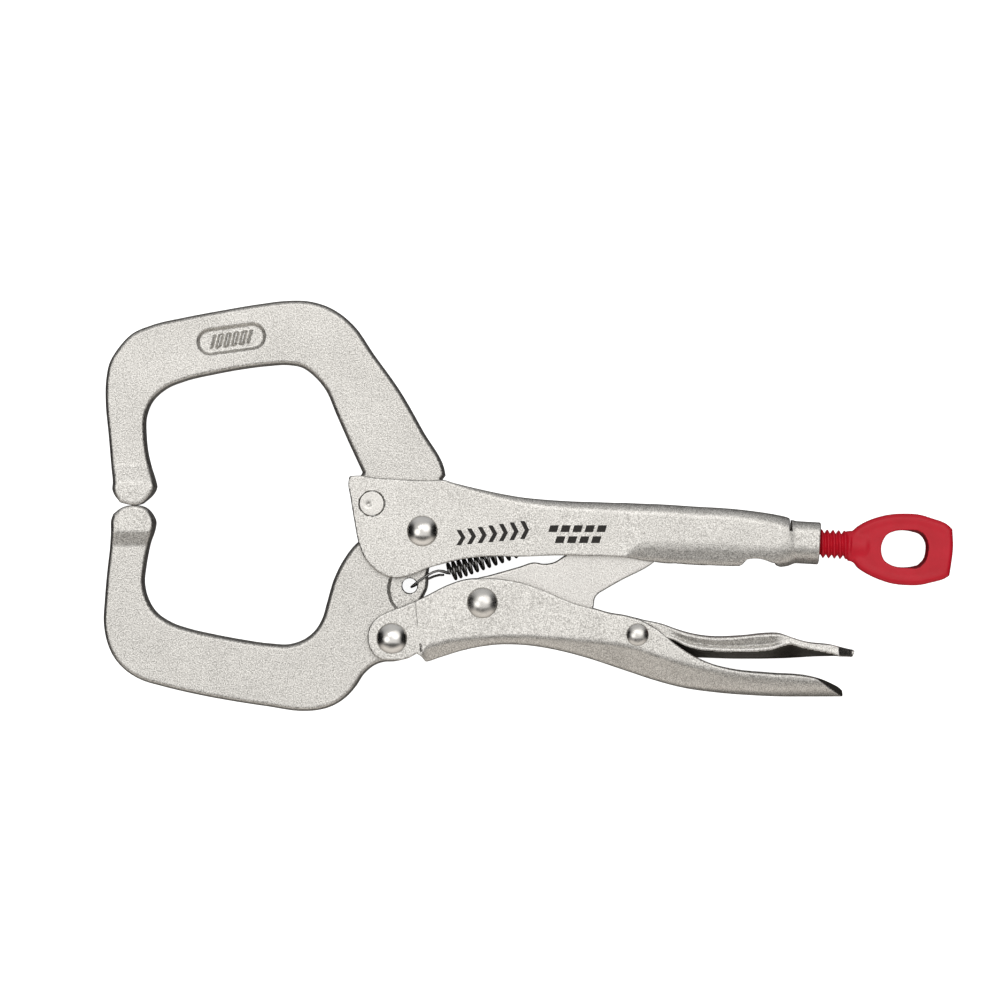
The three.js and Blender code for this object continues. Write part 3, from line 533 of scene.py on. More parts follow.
M_RED = red_coat("satin_red", (0.575, 0.007, 0.022), (0.65, 0.010, 0.029))
# painted shade: a dark red for the shaded wall of the loop's eye
M_RED_PAINTED_SHADE = red_coat("satin_red_painted_shade", (0.17, 0.003, 0.008), (0.25, 0.005, 0.012))
M_INK = ink("printed_ink")


# ------------------------------------------------------------------ dimensions
JAW_PIVOT = (-34.97, -8.258)
LEVER_PIVOT = (-45.033, -43.742)
LINK_PIVOT = (-15.143, -31.991)
RELEASE_PIVOT = (36.096, -42.517)
ANCHOR = (-51.719, 0.778)
HOOK_HOLE = (-39.24, -26.497)
SCREW_POINT = (91.637, -12.197)
TILT = math.radians(-3.3)
SCREW_AXIS = (math.cos(TILT), math.sin(TILT), 0)
SCREW_SIDE = (-math.sin(TILT), math.cos(TILT), 0)

UPPER_JAW = [
    (-137.812, 7.53), (-138.209, 12.164), (-139.202, 23.882), (-140.129, 34.043),
    (-139.963, 42.02), (-138.805, 47.581), (-135.925, 52.348), (-131.258, 57.18),
    (-124.837, 59.961), (-113.847, 62.542), (-101.336, 64.893), (-88.824, 66.978),
    (-80.251, 68.004), (-73.101, 67.905), (-66.845, 66.25), (-62.112, 63.602), (-57.544, 59.53),
    (-51.288, 50.56), (-42.318, 37.949), (-34.639, 24.577), (-27.655, 11.866), (-27.324, 9.98),
    (-28.284, 8.821), (-28.549, 5.246), (-28.483, -0.513), (-29.906, 0.612), (-31.528, 1.241),
    (-34.97, 1.837), (-38.413, 1.241), (-41.458, -0.513), (-43.742, -2.532), (-47.052, -5.015),
    (-51.686, -8.656), (-55.327, -11.138), (-56.551, -7.994), (-57.445, -3.062),
    (-57.842, 1.936), (-57.246, 6.901), (-54.896, 11.039), (-59.398, 20.737), (-63.502, 30.038),
    (-67.673, 39.174), (-71.347, 43.311), (-74.922, 45.761), (-79.457, 46.588),
    (-86.408, 46.257), (-94.186, 45.297), (-104.315, 43.444), (-113.682, 41.226),
    (-119.905, 38.611), (-124.439, 34.341), (-126.326, 29.376), (-126.425, 23.253),
    (-125.73, 17.03), (-124.638, 12.561), (-123.248, 8.093), (-122.884, 6.272),
    (-123.48, 4.617), (-124.837, 2.929), (-126.492, 1.638), (-128.312, 0.645),
    (-130.464, 0.381), (-132.615, 0.645), (-135.164, 1.241), (-136.984, 3.227),
    (-137.977, 5.544),
]
LOWER_JAW = [
    (-138.375, -4.849), (-137.646, -2.665), (-135.197, -0.943), (-132.284, -0.05),
    (-129.14, -0.017), (-125.797, -1.175), (-123.91, -3.393), (-123.182, -5.379),
    (-123.413, -7.398), (-125.002, -12.264), (-125.962, -16.666), (-126.558, -20.34),
    (-127.021, -25.239), (-126.128, -29.873), (-123.016, -35.235), (-118.283, -38.512),
    (-112.093, -40.696), (-104.282, -42.484), (-94.947, -44.238), (-85.646, -45.562),
    (-78.662, -45.728), (-74.359, -44.238), (-70.784, -41.425), (-68.368, -37.519),
    (-66.746, -32.124), (-64.396, -24.246), (-61.218, -17.891), (-56.452, -12.032),
    (-51.024, -8.92), (-47.052, -6.008), (-43.08, -4.485), (-41.756, -2.334), (-39.273, -0.414),
    (-34.97, 0.679), (-30.667, -0.414), (-27.324, -3.658), (-26.033, -8.258),
    (-26.761, -12.959), (-29.343, -17.096), (-32.554, -19.579), (-33.05, -23.12),
    (-33.05, -25.735), (-33.514, -27.92), (-34.474, -29.873), (-35.798, -33.481),
    (-36.691, -37.784), (-36.857, -41.756), (-37.055, -45.397), (-38.082, -48.508),
    (-40.928, -50.726), (-44.668, -51.653), (-47.78, -51.785), (-50.759, -52.811),
    (-54.168, -55.558), (-57.147, -59.961), (-60.391, -63.502), (-65.224, -66.514),
    (-70.023, -67.805), (-74.789, -68.07), (-86.474, -66.514), (-98.191, -64.727),
    (-110.008, -62.509), (-121.725, -59.729), (-128.114, -57.809), (-133.145, -54.863),
    (-137.448, -50.13), (-139.897, -44.371), (-140.791, -38.578), (-140.46, -31.428),
    (-139.665, -22.061), (-138.639, -12.694), (-138.408, -7.961),
]
HANDLE_SIDE = [
    (-59.133, 9.847), (-59.464, 7.596), (-58.67, 2.267), (-57.511, -4.849), (-55.79, -13.091),
    (-54.003, -17.229), (-51.653, -20.174), (-48.078, -22.822), (-43.94, -23.849),
    (-40.399, -23.418), (-36.857, -22.227), (-32.719, -20.472), (-27.39, -18.983),
    (-20.903, -17.526), (-12.032, -16.732), (-3.161, -16.798), (8.656, -16.401),
    (20.472, -16.5), (32.719, -17.096), (42.186, -18.884), (54.83, -19.81), (67.507, -20.505),
    (70.122, -20.208), (71.215, -18.983), (72.373, -17.692), (74.823, -17.394),
    (77.305, -17.659), (79.788, -18.387), (81.939, -19.446), (83.429, -20.241),
    (86.672, -21.234), (99.912, -21.234), (99.912, 1.936), (56.882, 5.246), (10.542, 6.57),
    (-9.318, 5.842), (-16.6, 6.306), (-21.863, 7.398), (-25.173, 8.093), (-27.854, 8.556),
    (-32.488, 8.358), (-42.418, 8.821), (-50.693, 9.351), (-55.658, 10.013),
]
LEVER_SIDE = [
    (-53.109, -43.808), (-52.513, -40.266), (-50.461, -37.32), (-46.919, -35.235),
    (-41.59, -33.183), (-34.507, -30.204), (-26.828, -26.364), (-20.903, -24.411),
    (-14.978, -24.014), (-9.086, -24.18), (-3.161, -25.206), (5.71, -28.152), (11.602, -30.8),
    (17.493, -32.885), (21.664, -33.944), (27.026, -35.467), (32.719, -36.427),
    (37.784, -37.982), (42.219, -40.531), (48.541, -45.595), (54.863, -49.7), (61.218, -52.579),
    (67.541, -54.135), (80.218, -55.459), (92.895, -56.452), (97.926, -57.71),
    (101.236, -59.166), (104.215, -60.755), (104.348, -63.271), (104.348, -66.25),
    (37.022, -66.25), (-19.248, -60.954), (-32.488, -54.996), (-33.911, -51.785),
    (-35.731, -49.501), (-36.857, -48.839), (-39.803, -50.428), (-42.782, -51.024),
    (-45.827, -51.024), (-48.078, -50.891), (-50.461, -49.733), (-52.381, -47.052),
]
LINK_SIDE = [
    (-17.361, -24.279), (-12.628, -22.988), (-7.663, -21.598), (-2.698, -20.174),
    (2.135, -18.784), (5.114, -19.248), (8.556, -18.751), (12.197, -16.434), (23.782, -9.318),
    (41.987, -6.206), (44.304, -5.213), (46.952, -5.478), (48.938, -7.332), (49.468, -9.649),
    (48.607, -11.966), (46.621, -13.422), (41.59, -18.685), (30.402, -24.875),
    (25.239, -27.854), (22.889, -29.376), (21.995, -30.833), (21.763, -32.819),
    (21.134, -35.136), (19.148, -36.592), (10.542, -37.287), (-2.698, -38.28),
    (-13.29, -39.306), (-18.586, -38.644), (-22.061, -35.467), (-22.789, -31.164),
    (-21.234, -27.192),
]
RELEASE_SIDE = [
    (34.043, -37.055), (38.578, -37.883), (44.006, -39.041), (48.674, -40.531),
    (53.308, -41.822), (57.908, -42.749), (62.112, -43.08), (67.143, -43.047),
    (73.432, -42.749), (76.444, -42.318), (79.854, -42.054), (83.726, -42.153),
    (84.686, -42.55), (91.869, -44.966), (101.733, -46.125), (107.691, -47.35),
    (108.32, -48.343), (107.592, -50.163), (103.388, -49.898), (96.834, -49.898),
    (84.686, -50.593), (70.122, -50.792), (57.015, -50.329), (47.614, -50.163),
    (39.67, -49.203), (31.064, -47.548), (25.106, -45.86), (21.73, -43.08), (21.267, -40.895),
    (22.789, -39.902), (27.092, -39.571), (30.402, -38.644),
]
LOOP = [
    (105.341, -8.689), (107.459, -8.457), (109.015, -7.034), (112.259, -5.147),
    (116.297, -3.658), (120.269, -2.83), (125.466, -2.565), (129.504, -2.83), (133.575, -3.989),
    (139.368, -6.438), (140.725, -7.795), (140.923, -13.952), (140.129, -20.406),
    (139.699, -23.153), (138.507, -23.948), (133.608, -25.47), (129.934, -26.265),
    (125.432, -26.331), (120.6, -25.801), (116.595, -24.544), (112.226, -22.525),
    (109.114, -20.406), (107.658, -18.685), (106.036, -18.222),
]
LOOP_HOLE = [
    (117.124, -13.952), (117.886, -11.304), (119.309, -9.417), (121.494, -8.49),
    (127.485, -8.689), (129.835, -9.616), (131.49, -11.933), (131.655, -15.11),
    (131.059, -17.46), (129.073, -19.612), (125.863, -20.274), (120.368, -19.579),
    (118.084, -17.924), (117.257, -15.772),
]

ARM, TIP, TAB = 5.2, 7.0, 3.9
SLOT = 5.5

# ------------------------------------------------------------------ upper jaw
d_upper = Flat(UPPER_JAW)
MARK = (-98.224, 55.194)
MARK_TILT = math.radians(7.8)


def mark_field(x, y):
    """In the oval recess: distance to its edge, and its own axes."""
    dx, dy = x - MARK[0], y - MARK[1]
    u = dx * math.cos(MARK_TILT) + dy * math.sin(MARK_TILT)
    v = -dx * math.sin(MARK_TILT) + dy * math.cos(MARK_TILT)
    return np.hypot(np.maximum(np.abs(u) - 7.017, 0), v) - 4.038, u, v


def draft(y):
    """How far a forging's sides lean in; next to nothing where the tips meet."""
    return 0.13 - 0.115 * np.exp(-(((y - 0.281) / 3.0) ** 2))


def meet(y):
    """The tips swell by a hair where they touch."""
    return 0.2 * np.exp(-(((y - 0.281) / 1.6) ** 2))


def upper_jaw(x, y, z):
    d = d_upper(x, y)
    half = ARM + (TIP - ARM) * ramp01((13.654 - y) / 5.892) * (x < -108.618)
    e, u, v = mark_field(x, y)
    cut = 1.2 * step01(0.5 - e / 1.25)
    # a plain row of slanted bars stands in the recess
    w = u - 0.4 * v
    bar = np.abs((w + 28.6) % 2.6 - 1.3) - 0.62
    bars = 1.1 * step01(0.5 - bar / 0.8) * step01(0.5 - (np.abs(v) - 2.0) / 0.7) * (np.abs(w) < 6.5)
    half = half - cut + bars
    f = rmax(d - meet(y) + draft(y) * np.abs(z), np.abs(z) - half, 0.95)
    return np.maximum(f, 4.3 - disc(x, y, ANCHOR))


surface("forged_upper_jaw", upper_jaw, (-141.387, -2.036, -7.8), (-25.868, 69.46, 7.8), 0.45, "handle_body", ["upper_jaw"], M_FORGED)

# ------------------------------------------------------------------ lower jaw
d_lower = Flat(LOWER_JAW)
THIN = (-36.791, -27.523)


def lower_jaw(x, y, z):
    d = d_lower(x, y)
    half = ARM + (TIP - ARM) * ramp01((y - -13.157) / 4.667) * (x < -108.618)
    half = half - (ARM - TAB) * step01(0.5 - (disc(x, y, THIN) - 9.334) / 1.3)
    f = rmax(d - meet(y) + draft(y) * np.abs(z), np.abs(z) - half, 0.95)
    f = rmax(f, 2.5 - disc(x, y, HOOK_HOLE), 0.12)
    f = np.maximum(f, 3.6 - disc(x, y, JAW_PIVOT))
    return np.maximum(f, 3.6 - disc(x, y, LEVER_PIVOT))


surface("forged_lower_jaw", lower_jaw, (-141.718, -69.229, -7.8), (-24.544, 2.598, 7.8), 0.45, "lower_jaw_body", ["lower_jaw"], M_FORGED)

# ------------------------------------------------------------------ upper handle
HANDLE = Track([
    (-62.278, 13.19, -28.516, 7.7, 0.5, 0.3),
    (-29.178, 10.542, -28.516, 7.7, 0.5, 0.3),
    (-27.192, 8.689, -28.516, 7.7, 0.7, 0.3),
    (-25.868, 8.027, -28.516, 7.7, 0.8, 0.3),
    (-22.558, 7.1, -27.854, 7.7, 1.2, 0.3),
    (-15.938, 5.511, -25.868, 7.7, 1.7, 0.3),
    (-9.318, 4.088, -24.544, 7.8, 2.2, 0.3),
    (-2.698, 2.929, -23.22, 7.9, 2.6, 0.4),
    (5.577, 2.069, -21.234, 8.1, 3.0, 0.5),
    (13.852, 1.539, -19.91, 8.3, 3.3, 0.6),
    (23.782, 1.208, -18.255, 8.5, 3.5, 0.8),
    (29.74, 1.01, -17.659, 8.6, 3.6, 1.0),
    (32.719, 0.976, -17.99, 8.7, 3.7, 1.7),
    (35.698, 0.844, -18.652, 8.75, 3.8, 3.8),
    (38.677, 0.712, -19.181, 8.8, 3.8, 5.2),
    (41.987, 0.612, -19.512, 8.9, 3.8, 5.7),
    (54.896, -0.182, -20.307, 9, 3.9, 5.9),
    (68.467, -1.043, -20.836, 9, 4.0, 6.1),
    (75.749, -1.903, -20.836, 8.75, 4.1, 6.1),
    (79.39, -2.433, -20.77, 8.4, 4.2, 6.0),
    (83.031, -3.095, -20.439, 7.9, 4.3, 5.8),
    (85.348, -3.724, -19.976, 7.4, 4.4, 5.7),
    (86.772, -4.419, -19.579, 7.05, 4.4, 5.6),
])
d_handle = Flat(HANDLE_SIDE)
HANDLE_BEND = Track([
    (-62.278, -44.404, 0.42),
    (23.782, -31.164, 0.42),
    (29.078, -20.572, 0.42),
    (31.726, -17.758, 0.42),
    (34.374, -14.945, 0.40),
    (37.022, -13.356, 0.36),
    (40.332, -13.025, 0.34),
    (54.896, -13.356, 0.34),
    (68.467, -13.952, 0.34),
    (76.742, -14.614, 0.34),
    (81.707, -14.614, 0.34),
    (87.003, -14.283, 0.34),
])


def on_screw(x, y, z):
    dx, dy = x - SCREW_POINT[0], y - SCREW_POINT[1]
    s = dx * SCREW_AXIS[0] + dy * SCREW_AXIS[1]
    q = dx * SCREW_SIDE[0] + dy * SCREW_SIDE[1]
    return s, np.hypot(q, z), q


def upper_handle(x, y, z):
    top, bottom, half, rt, rb = HANDLE(x)
    outer = tube_box(y, z, top, bottom, half, rt, rb)
    bend, lean = HANDLE_BEND(x)
    under = (np.abs(z) - half) * np.cos(lean) + (bend - y) * np.sin(lean)
    outer = rmax(outer, under, 0.6)
    t = SHEET
    ri = np.maximum(rt - t, 0.6)
    rj = np.maximum(rb - t, 0.5)
    inner = tube_box(y, z, top - t, bottom + t, half - t, ri, rj)
    inner = np.maximum(rmax(inner, under + t, 0.6), x - 82.038)
    f = rmax(outer, -inner, 0.3)
    gap = np.maximum(np.abs(z) - (SLOT + 0.2 * step01((x - 23.782) / 20)), y - -8.656)
    gap = np.maximum(gap, x - 82.038)
    f = rmax(f, -gap, 0.35)
    f = rmax(f, d_handle(x, y), 0.4)
    slot = np.maximum(np.abs(z) - SLOT, x - -27.357)
    f = rmax(f, -slot, 0.3)
    f = rmax(f, x - 87.07, 1.1)
    s, rho, q = on_screw(x, y, z)
    neck = rmax(tube_box(q, z, 7.0, -7.0, 6.9, 4.0, 6.3), np.abs(s - -1.821) - 6.786, 0.45)
    f = rmin(f, neck, 1.9)
    # the slit where the folded sheet was rolled round into the neck
    slit = np.maximum(np.abs(x - 86.97) - 0.3, 3.6 - q)
    slit = np.maximum(slit, 5.6 - rho)
    f = rmax(f, -slit, 0.25)
    f = rmax(f, -np.maximum(rho - 5.05, 78.728 - x), 0.4)
    tab = np.maximum(np.maximum(np.abs(x - 16.5) - 0.8, np.abs(z) - 3.0), np.maximum(-8.987 - y, y - -0.05))
    tab = np.maximum(tab, 1.5 - np.hypot(y - -6.67, z))
    f = np.minimum(f, tab)
    f = np.maximum(f, 3.6 - disc(x, y, JAW_PIVOT))
    return rmax(f, 4.13 - disc(x, y, ANCHOR), 0.1)


surface("folded_upper_handle", upper_handle, (-60.954, -25.868, -9.8), (97.595, 11.866, 9.8), 0.55, "handle_body", ["upper_handle"], M_SHEET)

# printed on the handle's side: a row of chevrons and two rows of dashes
def printed(name, shapes, body):
    verts, faces = [], []
    for shape in shapes:
        for side in (1,):
            base = len(verts)
            n = len(shape)
            for off in (-0.05, 0.03):
                for x, y in shape:
                    half = float(HANDLE(np.array([x]))[2][0])
                    verts.append((x, y, side * (half + off)))
            faces.append(tuple(base + n + k for k in range(n)))
            faces.append(tuple(base + k for k in reversed(range(n))))
            for k in range(n):
                j = (k + 1) % n
                faces.append((base + k, base + j, base + n + j, base + n + k))
    mesh = bpy.data.meshes.new(name)
    mesh.from_pydata([(x / 1000, y / 1000, (z + ZC) / 1000) for x, y, z in verts], [], faces)
    mesh.validate()
    mesh.update()
    ob = bpy.data.objects.new(name, mesh)
    bpy.context.scene.collection.objects.link(ob)
    mesh.materials.append(M_INK)
    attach(ob, body)
    return ob


def slanted(x, y, w, h, lean):
    k = lean * h / 2
    return [(x - w / 2 - k, y - h / 2), (x + w / 2 - k, y - h / 2), (x + w / 2 + k, y + h / 2), (x - w / 2 + k, y + h / 2)]


marks = []
for k in range(7):
    x0, y0 = -22.227 + 3.509 * k, -10.476 + 0.414 * k
    w, h = 1.523, 2.516 + 0.083 * k
    marks.append([(x0 - w, y0 + h), (x0, y0 + h), (x0 + w, y0), (x0, y0)])
    marks.append([(x0 - w, y0 - h), (x0, y0), (x0 + w, y0), (x0, y0 - h)])
printed("printed_chevrons", marks, "handle_body")
marks = []
for row, (yy, xs) in enumerate(((-7.53, (8.391, 12.363, 16.335, 20.307, 24.279)), (-11.171, (10.542, 14.514, 18.486, 22.458)))):
    for xx in xs:
        marks.append(slanted(xx, yy, 2.847, 2.251, 0.3))
printed("printed_dashes", marks, "handle_body")

# ------------------------------------------------------------------ lower lever
LEVER = Track([
    (-55.658, -51.686, 8.3, 0.3),
    (-38.446, -51.421, 8.3, 0.8),
    (-36.393, -51.619, 8.3, 1.6),
    (-34.474, -51.686, 8.3, 2.6),
    (-29.178, -50.163, 8.3, 3.5),
    (-22.227, -48.012, 8.3, 3.7),
    (-14.945, -46.489, 8.3, 3.6),
    (-7.332, -45.86, 8.3, 3.6),
    (-0.215, -46.191, 8.3, 3.9),
    (8.556, -47.581, 8.3, 4.6),
    (20.141, -50.593, 8.3, 6),
    (29.409, -53.672, 8.4, 7.2),
    (35.864, -55.856, 8.5, 7.8),
    (42.318, -57.975, 8.7, 8.0),
    (51.586, -60.358, 9, 8.1),
    (61.185, -61.748, 9.3, 8.0),
    (73.763, -62.774, 9.6, 7.8),
    (86.672, -63.204, 9.8, 7.6),
    (105.208, -63.204, 9.8, 7.6),
])
d_lever = Flat(LEVER_SIDE)
# where the wall begins to turn under, and how steeply
LEVER_BEND = Track([
    (-55.658, -60.954, 0.58),
    (-37.122, -54.996, 0.58),
    (-35.798, -51.024, 0.58),
    (-34.507, -48.21, 0.58),
    (-29.773, -45.661, 0.58),
    (-20.903, -44.073, 0.58),
    (-12.032, -43.477, 0.58),
    (-3.161, -43.411, 0.58),
    (5.71, -43.742, 0.58),
    (14.547, -44.271, 0.58),
    (23.418, -44.933, 0.57),
    (35.864, -47.052, 0.56),
    (42.219, -49.236, 0.55),
    (48.541, -51.222, 0.54),
    (58.041, -53.672, 0.53),
    (67.541, -55.658, 0.52),
    (83.362, -57.511, 0.50),
    (105.208, -60.292, 0.48),
])


def segment(x, y, x0, y0, x1, y1):
    dx, dy = x1 - x0, y1 - y0
    t = np.clip(((x - x0) * dx + (y - y0) * dy) / np.maximum(dx * dx + dy * dy, 1e-6), 0, 1)
    return np.hypot(x - x0 - t * dx, y - y0 - t * dy)


SPLIT = (-35.665, -45.661), (-35.268, -48.21)


def lower_lever(x, y, z):
    bottom, half, rb = LEVER(x)
    # the walls step out behind the ears, crisply near the top and softly lower down
    soft = 0.9 + 5.5 * step01((-39.108 - y) / 4.634)
    half = half - 0.3 * (1 - step01(0.5 + (x - -36.791 + 0.1 * (y - -36.791)) / soft))
    past = (0.57 * (x - 96.602) + 0.82 * (y - -58.14))
    half = half - 4.0 * np.maximum(past, 0) * (x > 83.362)
    outer = tube_box(y, z, -11.304, bottom, half, 0.3, rb)
    bend, lean = LEVER_BEND(x)
    outer = rmax(outer, (np.abs(z) - half) * np.cos(lean) + (bend - y) * np.sin(lean), 0.6)
    t = SHEET
    inner = tube_box(y, z, -4.684, bottom + t, half - t, 0.3, np.maximum(rb - t, 0.5))
    inner = rmax(inner, (np.abs(z) - half) * np.cos(lean) + (bend - y) * np.sin(lean) + t, 0.8)
    f = rmax(outer, -inner, 0.3)
    f = rmax(f, d_lever(x, y), 0.42)
    ears = np.maximum(np.abs(z) - SLOT, x - -36.625)
    f = rmax(f, -ears, 0.3)
    split = np.maximum(segment(x, y, *SPLIT[0], *SPLIT[1]) - 0.2, 7.6 - np.abs(z))
    f = rmax(f, -split, 0.12)
    f = np.maximum(f, 3.6 - disc(x, y, LEVER_PIVOT))
    f = np.maximum(f, 3.6 - disc(x, y, LINK_PIVOT))
    return np.maximum(f, 2.4 - disc(x, y, RELEASE_PIVOT))


def painted_shade_lever_tail(x, y, z):
    """The sheared end of the walls, given painted shade: dark colour for the shade on its bevel."""
    past = 0.57 * (x - 96.602) + 0.82 * (y - -58.14)
    return (past > 0.1) & (x > 93.954) & (np.abs(z) < 9.65)


surface("folded_lower_lever", lower_lever, (-54.996, -64.926, -10.6), (105.539, -21.896, 10.6), 0.55, "lever_body", ["lower_lever"], M_SHEET, (M_PAINTED_SHADE, painted_shade_lever_tail))

# ------------------------------------------------------------------ toggle link
d_link = Flat(LINK_SIDE)


def toggle_link(x, y, z):
    f = rmax(d_link(x, y), np.abs(z) - 5.2, 0.55)
    return np.maximum(f, 3.6 - disc(x, y, LINK_PIVOT))


surface("toggle_bar", toggle_link, (-24.213, -41.094, -5.9), (50.924, -3.029, 5.9), 0.55, "link_body", ["toggle_link"], M_LINK)

# ------------------------------------------------------------------ release lever
RELEASE = Track([
    (19.148, -35.136, -43.742, -46.39, 5.8, 3.4),
    (31.064, -35.136, -44.404, -47.714, 5.8, 3.4),
    (40.332, -36.46, -43.08, -49.369, 5.8, 2.6),
    (47.614, -40.101, -43.742, -50.229, 5.9, 2.2),
    (52.248, -41.756, -45.86, -50.395, 6.2, 1.9),
    (56.882, -42.749, -47.052, -50.56, 6.5, 1.8),
    (62.178, -43.245, -47.515, -50.626, 6.7, 1.8),
    (68.467, -43.047, -47.714, -50.693, 6.9, 1.8),
    (75.087, -42.285, -47.581, -50.693, 7.1, 1.8),
    (80.714, -41.987, -46.919, -50.626, 7.3, 1.8),
    (84.024, -42.285, -45.86, -50.56, 7.4, 1.8),
    (86.672, -42.947, -45.198, -50.461, 7.5, 1.8),
    (89.982, -43.609, -46.125, -50.295, 7.5, 1.8),
    (96.602, -45.066, -47.515, -49.998, 7.5, 2.2),
    (100.574, -45.992, -48.309, -49.832, 7.5, 2.8),
    (103.222, -46.721, -49.038, -49.766, 7.5, 3.0),
    (108.518, -47.879, -49.7, -49.7, 7.5, 3.0),
])
d_release = Flat(RELEASE_SIDE)


def release_lever(x, y, z):
    top, knee, floor, wide, base = RELEASE(x)
    z = np.abs(z)
    t = 0.95
    # the pad's corners are cut back at the end
    cutback = 1.35 * np.maximum(x - 102.726, 0)
    wide = wide - cutback
    base = np.maximum(np.minimum(base, wide - 0.8), 1.2)
    a = segment(y, z, floor + t, 0 * z, floor + t, base - t) - t
    b = segment(y, z, floor + t, base - t, knee, wide - t) - t
    # the side wall: a rim, a groove under it, and a light lip above the channel
    groove = 2.35 * step01((x - 44.966) / 7.282) * step01((85.348 - x) / 5.296)
    mid = 0.74 * knee + 0.26 * (top - t)
    c = segment(y, z, knee, wide - t, mid, wide - t - 0.55 * groove) - t
    e = segment(y, z, mid, wide - t - 0.55 * groove, top - t, wide - t) - t
    e = np.maximum(e, -(y - mid))
    f = rmin(rmin(a, b, 0.4), np.minimum(c, e), 0.3)
    # the pad itself is closed across at the back
    pad = np.maximum(np.maximum(np.abs(y - (top + knee) / 2) - (top - knee) / 2, z - wide), 85.348 - x)
    f = np.minimum(f, pad)
    f = rmax(f, d_release(x, y), 0.35)
    return np.maximum(f, 2.4 - disc(x, y, RELEASE_PIVOT))


def painted_shade_under_channel(x, y, z):
    """Below the side walls' knee: painted shade, dark colour for the shade under the walls."""
    top, knee, floor, wide, base = RELEASE(x)
    return (y < knee - 0.1) & (x > 41.987) & (np.abs(z) < wide - 0.15) & (x < 102.56)


surface("stamped_release_lever", release_lever, (19.81, -52.348, -8.8), (109.18, -34.474, 8.8), 0.42, "release_body", ["release_lever"], M_SHEET, (M_PAINTED_SHADE, painted_shade_under_channel))

# ------------------------------------------------------------------ adjusting screw
d_loop = Flat(LOOP)
d_eye = Flat(LOOP_HOLE)


def screw_loop(x, y, z):
    # the eye flares towards both faces, most at its far end
    flare = 0.06 + 0.28 * step01((x - 124.075) / 5.296)
    a, b = d_loop(x, y), -d_eye(x, y) + flare * np.abs(z)
    half = 2.8 - 0.16 * step01((-a - 1.9) / 1.8) * step01((x - 106.863) / 2.5)
    f = rmax(rmax(a, np.abs(z) - half, 1.7), b, 0.3)
    s, rho, q = on_screw(x, y, z)
    neck = rmax(rho - 3.95 + 0.16 * np.maximum(s - alongx(106.532), 0), np.abs(s - alongx(108.849)) - 3.641, 1.0)
    f = rmin(f, neck, 1.6)
    collar = rmax(rho - 4.55, np.abs(s - alongx(106.4)) - 0.55, 0.5)
    return rmin(f, collar, 0.5)


def alongx(x):
    return (x - SCREW_POINT[0]) / SCREW_AXIS[0]


# the eye's wall and flared rim, which take the painted shade of the dark red
def painted_shade_in_eye(x, y, z):
    return (d_eye(x, y) < 0.06 + 0.34 * step01((x - 124.075) / 5.296) * (np.abs(z) + 0.3)) & (np.abs(z) < 2.75)


loop = surface("screw_loop", screw_loop, (103.884, -27.854, -5.2), (141.618, -0.712, 5.2), 0.4, "screw_body", [], M_RED, (M_RED_PAINTED_SHADE, painted_shade_in_eye))

# the thread: one right-hand helix along the shank
PITCH = 1.9
S0, S1 = alongx(58.206), alongx(106.201)
AROUND = 64
rows = int((S1 - S0) / (PITCH / 12))
along = np.linspace(S0, S1, rows)
ang = np.linspace(0, 2 * np.pi, AROUND, endpoint=False)
AA, SS = np.meshgrid(ang, along)
phase = ((SS - S0) / PITCH - AA / (2 * np.pi)) % 1.0
tri = 1 - np.abs(2 * phase - 1)
crest = np.clip((tri - 0.1) / 0.74, 0, 1)
fade = step01((SS - S0) / 1.2)
radius = 3.62 + (4.75 - 3.62) * crest * fade
radius = np.where(SS > S1 - 0.9, np.maximum(radius, 3.62 + 0.6 * step01((SS - S1 + 0.9) / 0.9)), radius)
ax, sd = np.array(SCREW_AXIS), np.array(SCREW_SIDE)
base = np.array([SCREW_POINT[0], SCREW_POINT[1], 0])
v = base + SS[..., None] * ax + (radius * np.cos(AA))[..., None] * sd + (radius * np.sin(AA))[..., None] * np.array([0, 0, 1.0])
v = v.reshape(-1, 3)
k = np.arange(AROUND)
faces = []
for i in range(rows - 1):
    faces.append(np.stack([i * AROUND + k, i * AROUND + (k + 1) % AROUND, (i + 1) * AROUND + (k + 1) % AROUND, (i + 1) * AROUND + k], 1))
faces = np.concatenate(faces)
c0 = len(v)
v = np.vstack([v, base + (S0 - 0.0) * ax, base + S1 * ax])
caps = [(c0, k_ , (k_ + 1) % AROUND, (k_ + 1) % AROUND) for k_ in range(AROUND)]
mesh = bpy.data.meshes.new("screw_shank")
vv = v / 1000
vv[:, 2] += ZC / 1000
top = (rows - 1) * AROUND
mesh.from_pydata(
    [tuple(p) for p in vv],
    [],
    [tuple(int(q) for q in f[::-1]) for f in faces]
    + [(c0, int(q), int((q + 1) % AROUND)) for q in k]
    + [(c0 + 1, int(top + (q + 1) % AROUND), int(top + q)) for q in k],
)
mesh.update()
import bmesh

bm = bmesh.new()
bm.from_mesh(mesh)
bmesh.ops.recalc_face_normals(bm, faces=bm.faces)
for f in bm.faces:
    f.smooth = True
bm.to_mesh(mesh)
bm.free()
shank = bpy.data.objects.new("screw_shank", mesh)
bpy.context.scene.collection.objects.link(shank)
mesh.materials.append(M_RED)
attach(shank, "screw_body")
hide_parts("adjusting_screw")
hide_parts("adjusting_screw")

TIP0 = alongx(52.579)
lathe(
    "screw_dog_point",
    [(TIP0, 0), (TIP0, 2.4), (TIP0 + 0.25, 2.9), (TIP0 + 0.7, 3.2), (TIP0 + 1.2, 3.3), (S0 - 0.5, 3.3), (S0 - 0.12, 3.1), (S0 - 0.12, 0)],
    48,
    (SCREW_POINT[0], SCREW_POINT[1], 0),
    SCREW_AXIS,
    "screw_travel_body",
    ["screw_tip"],
    M_DARK,
)


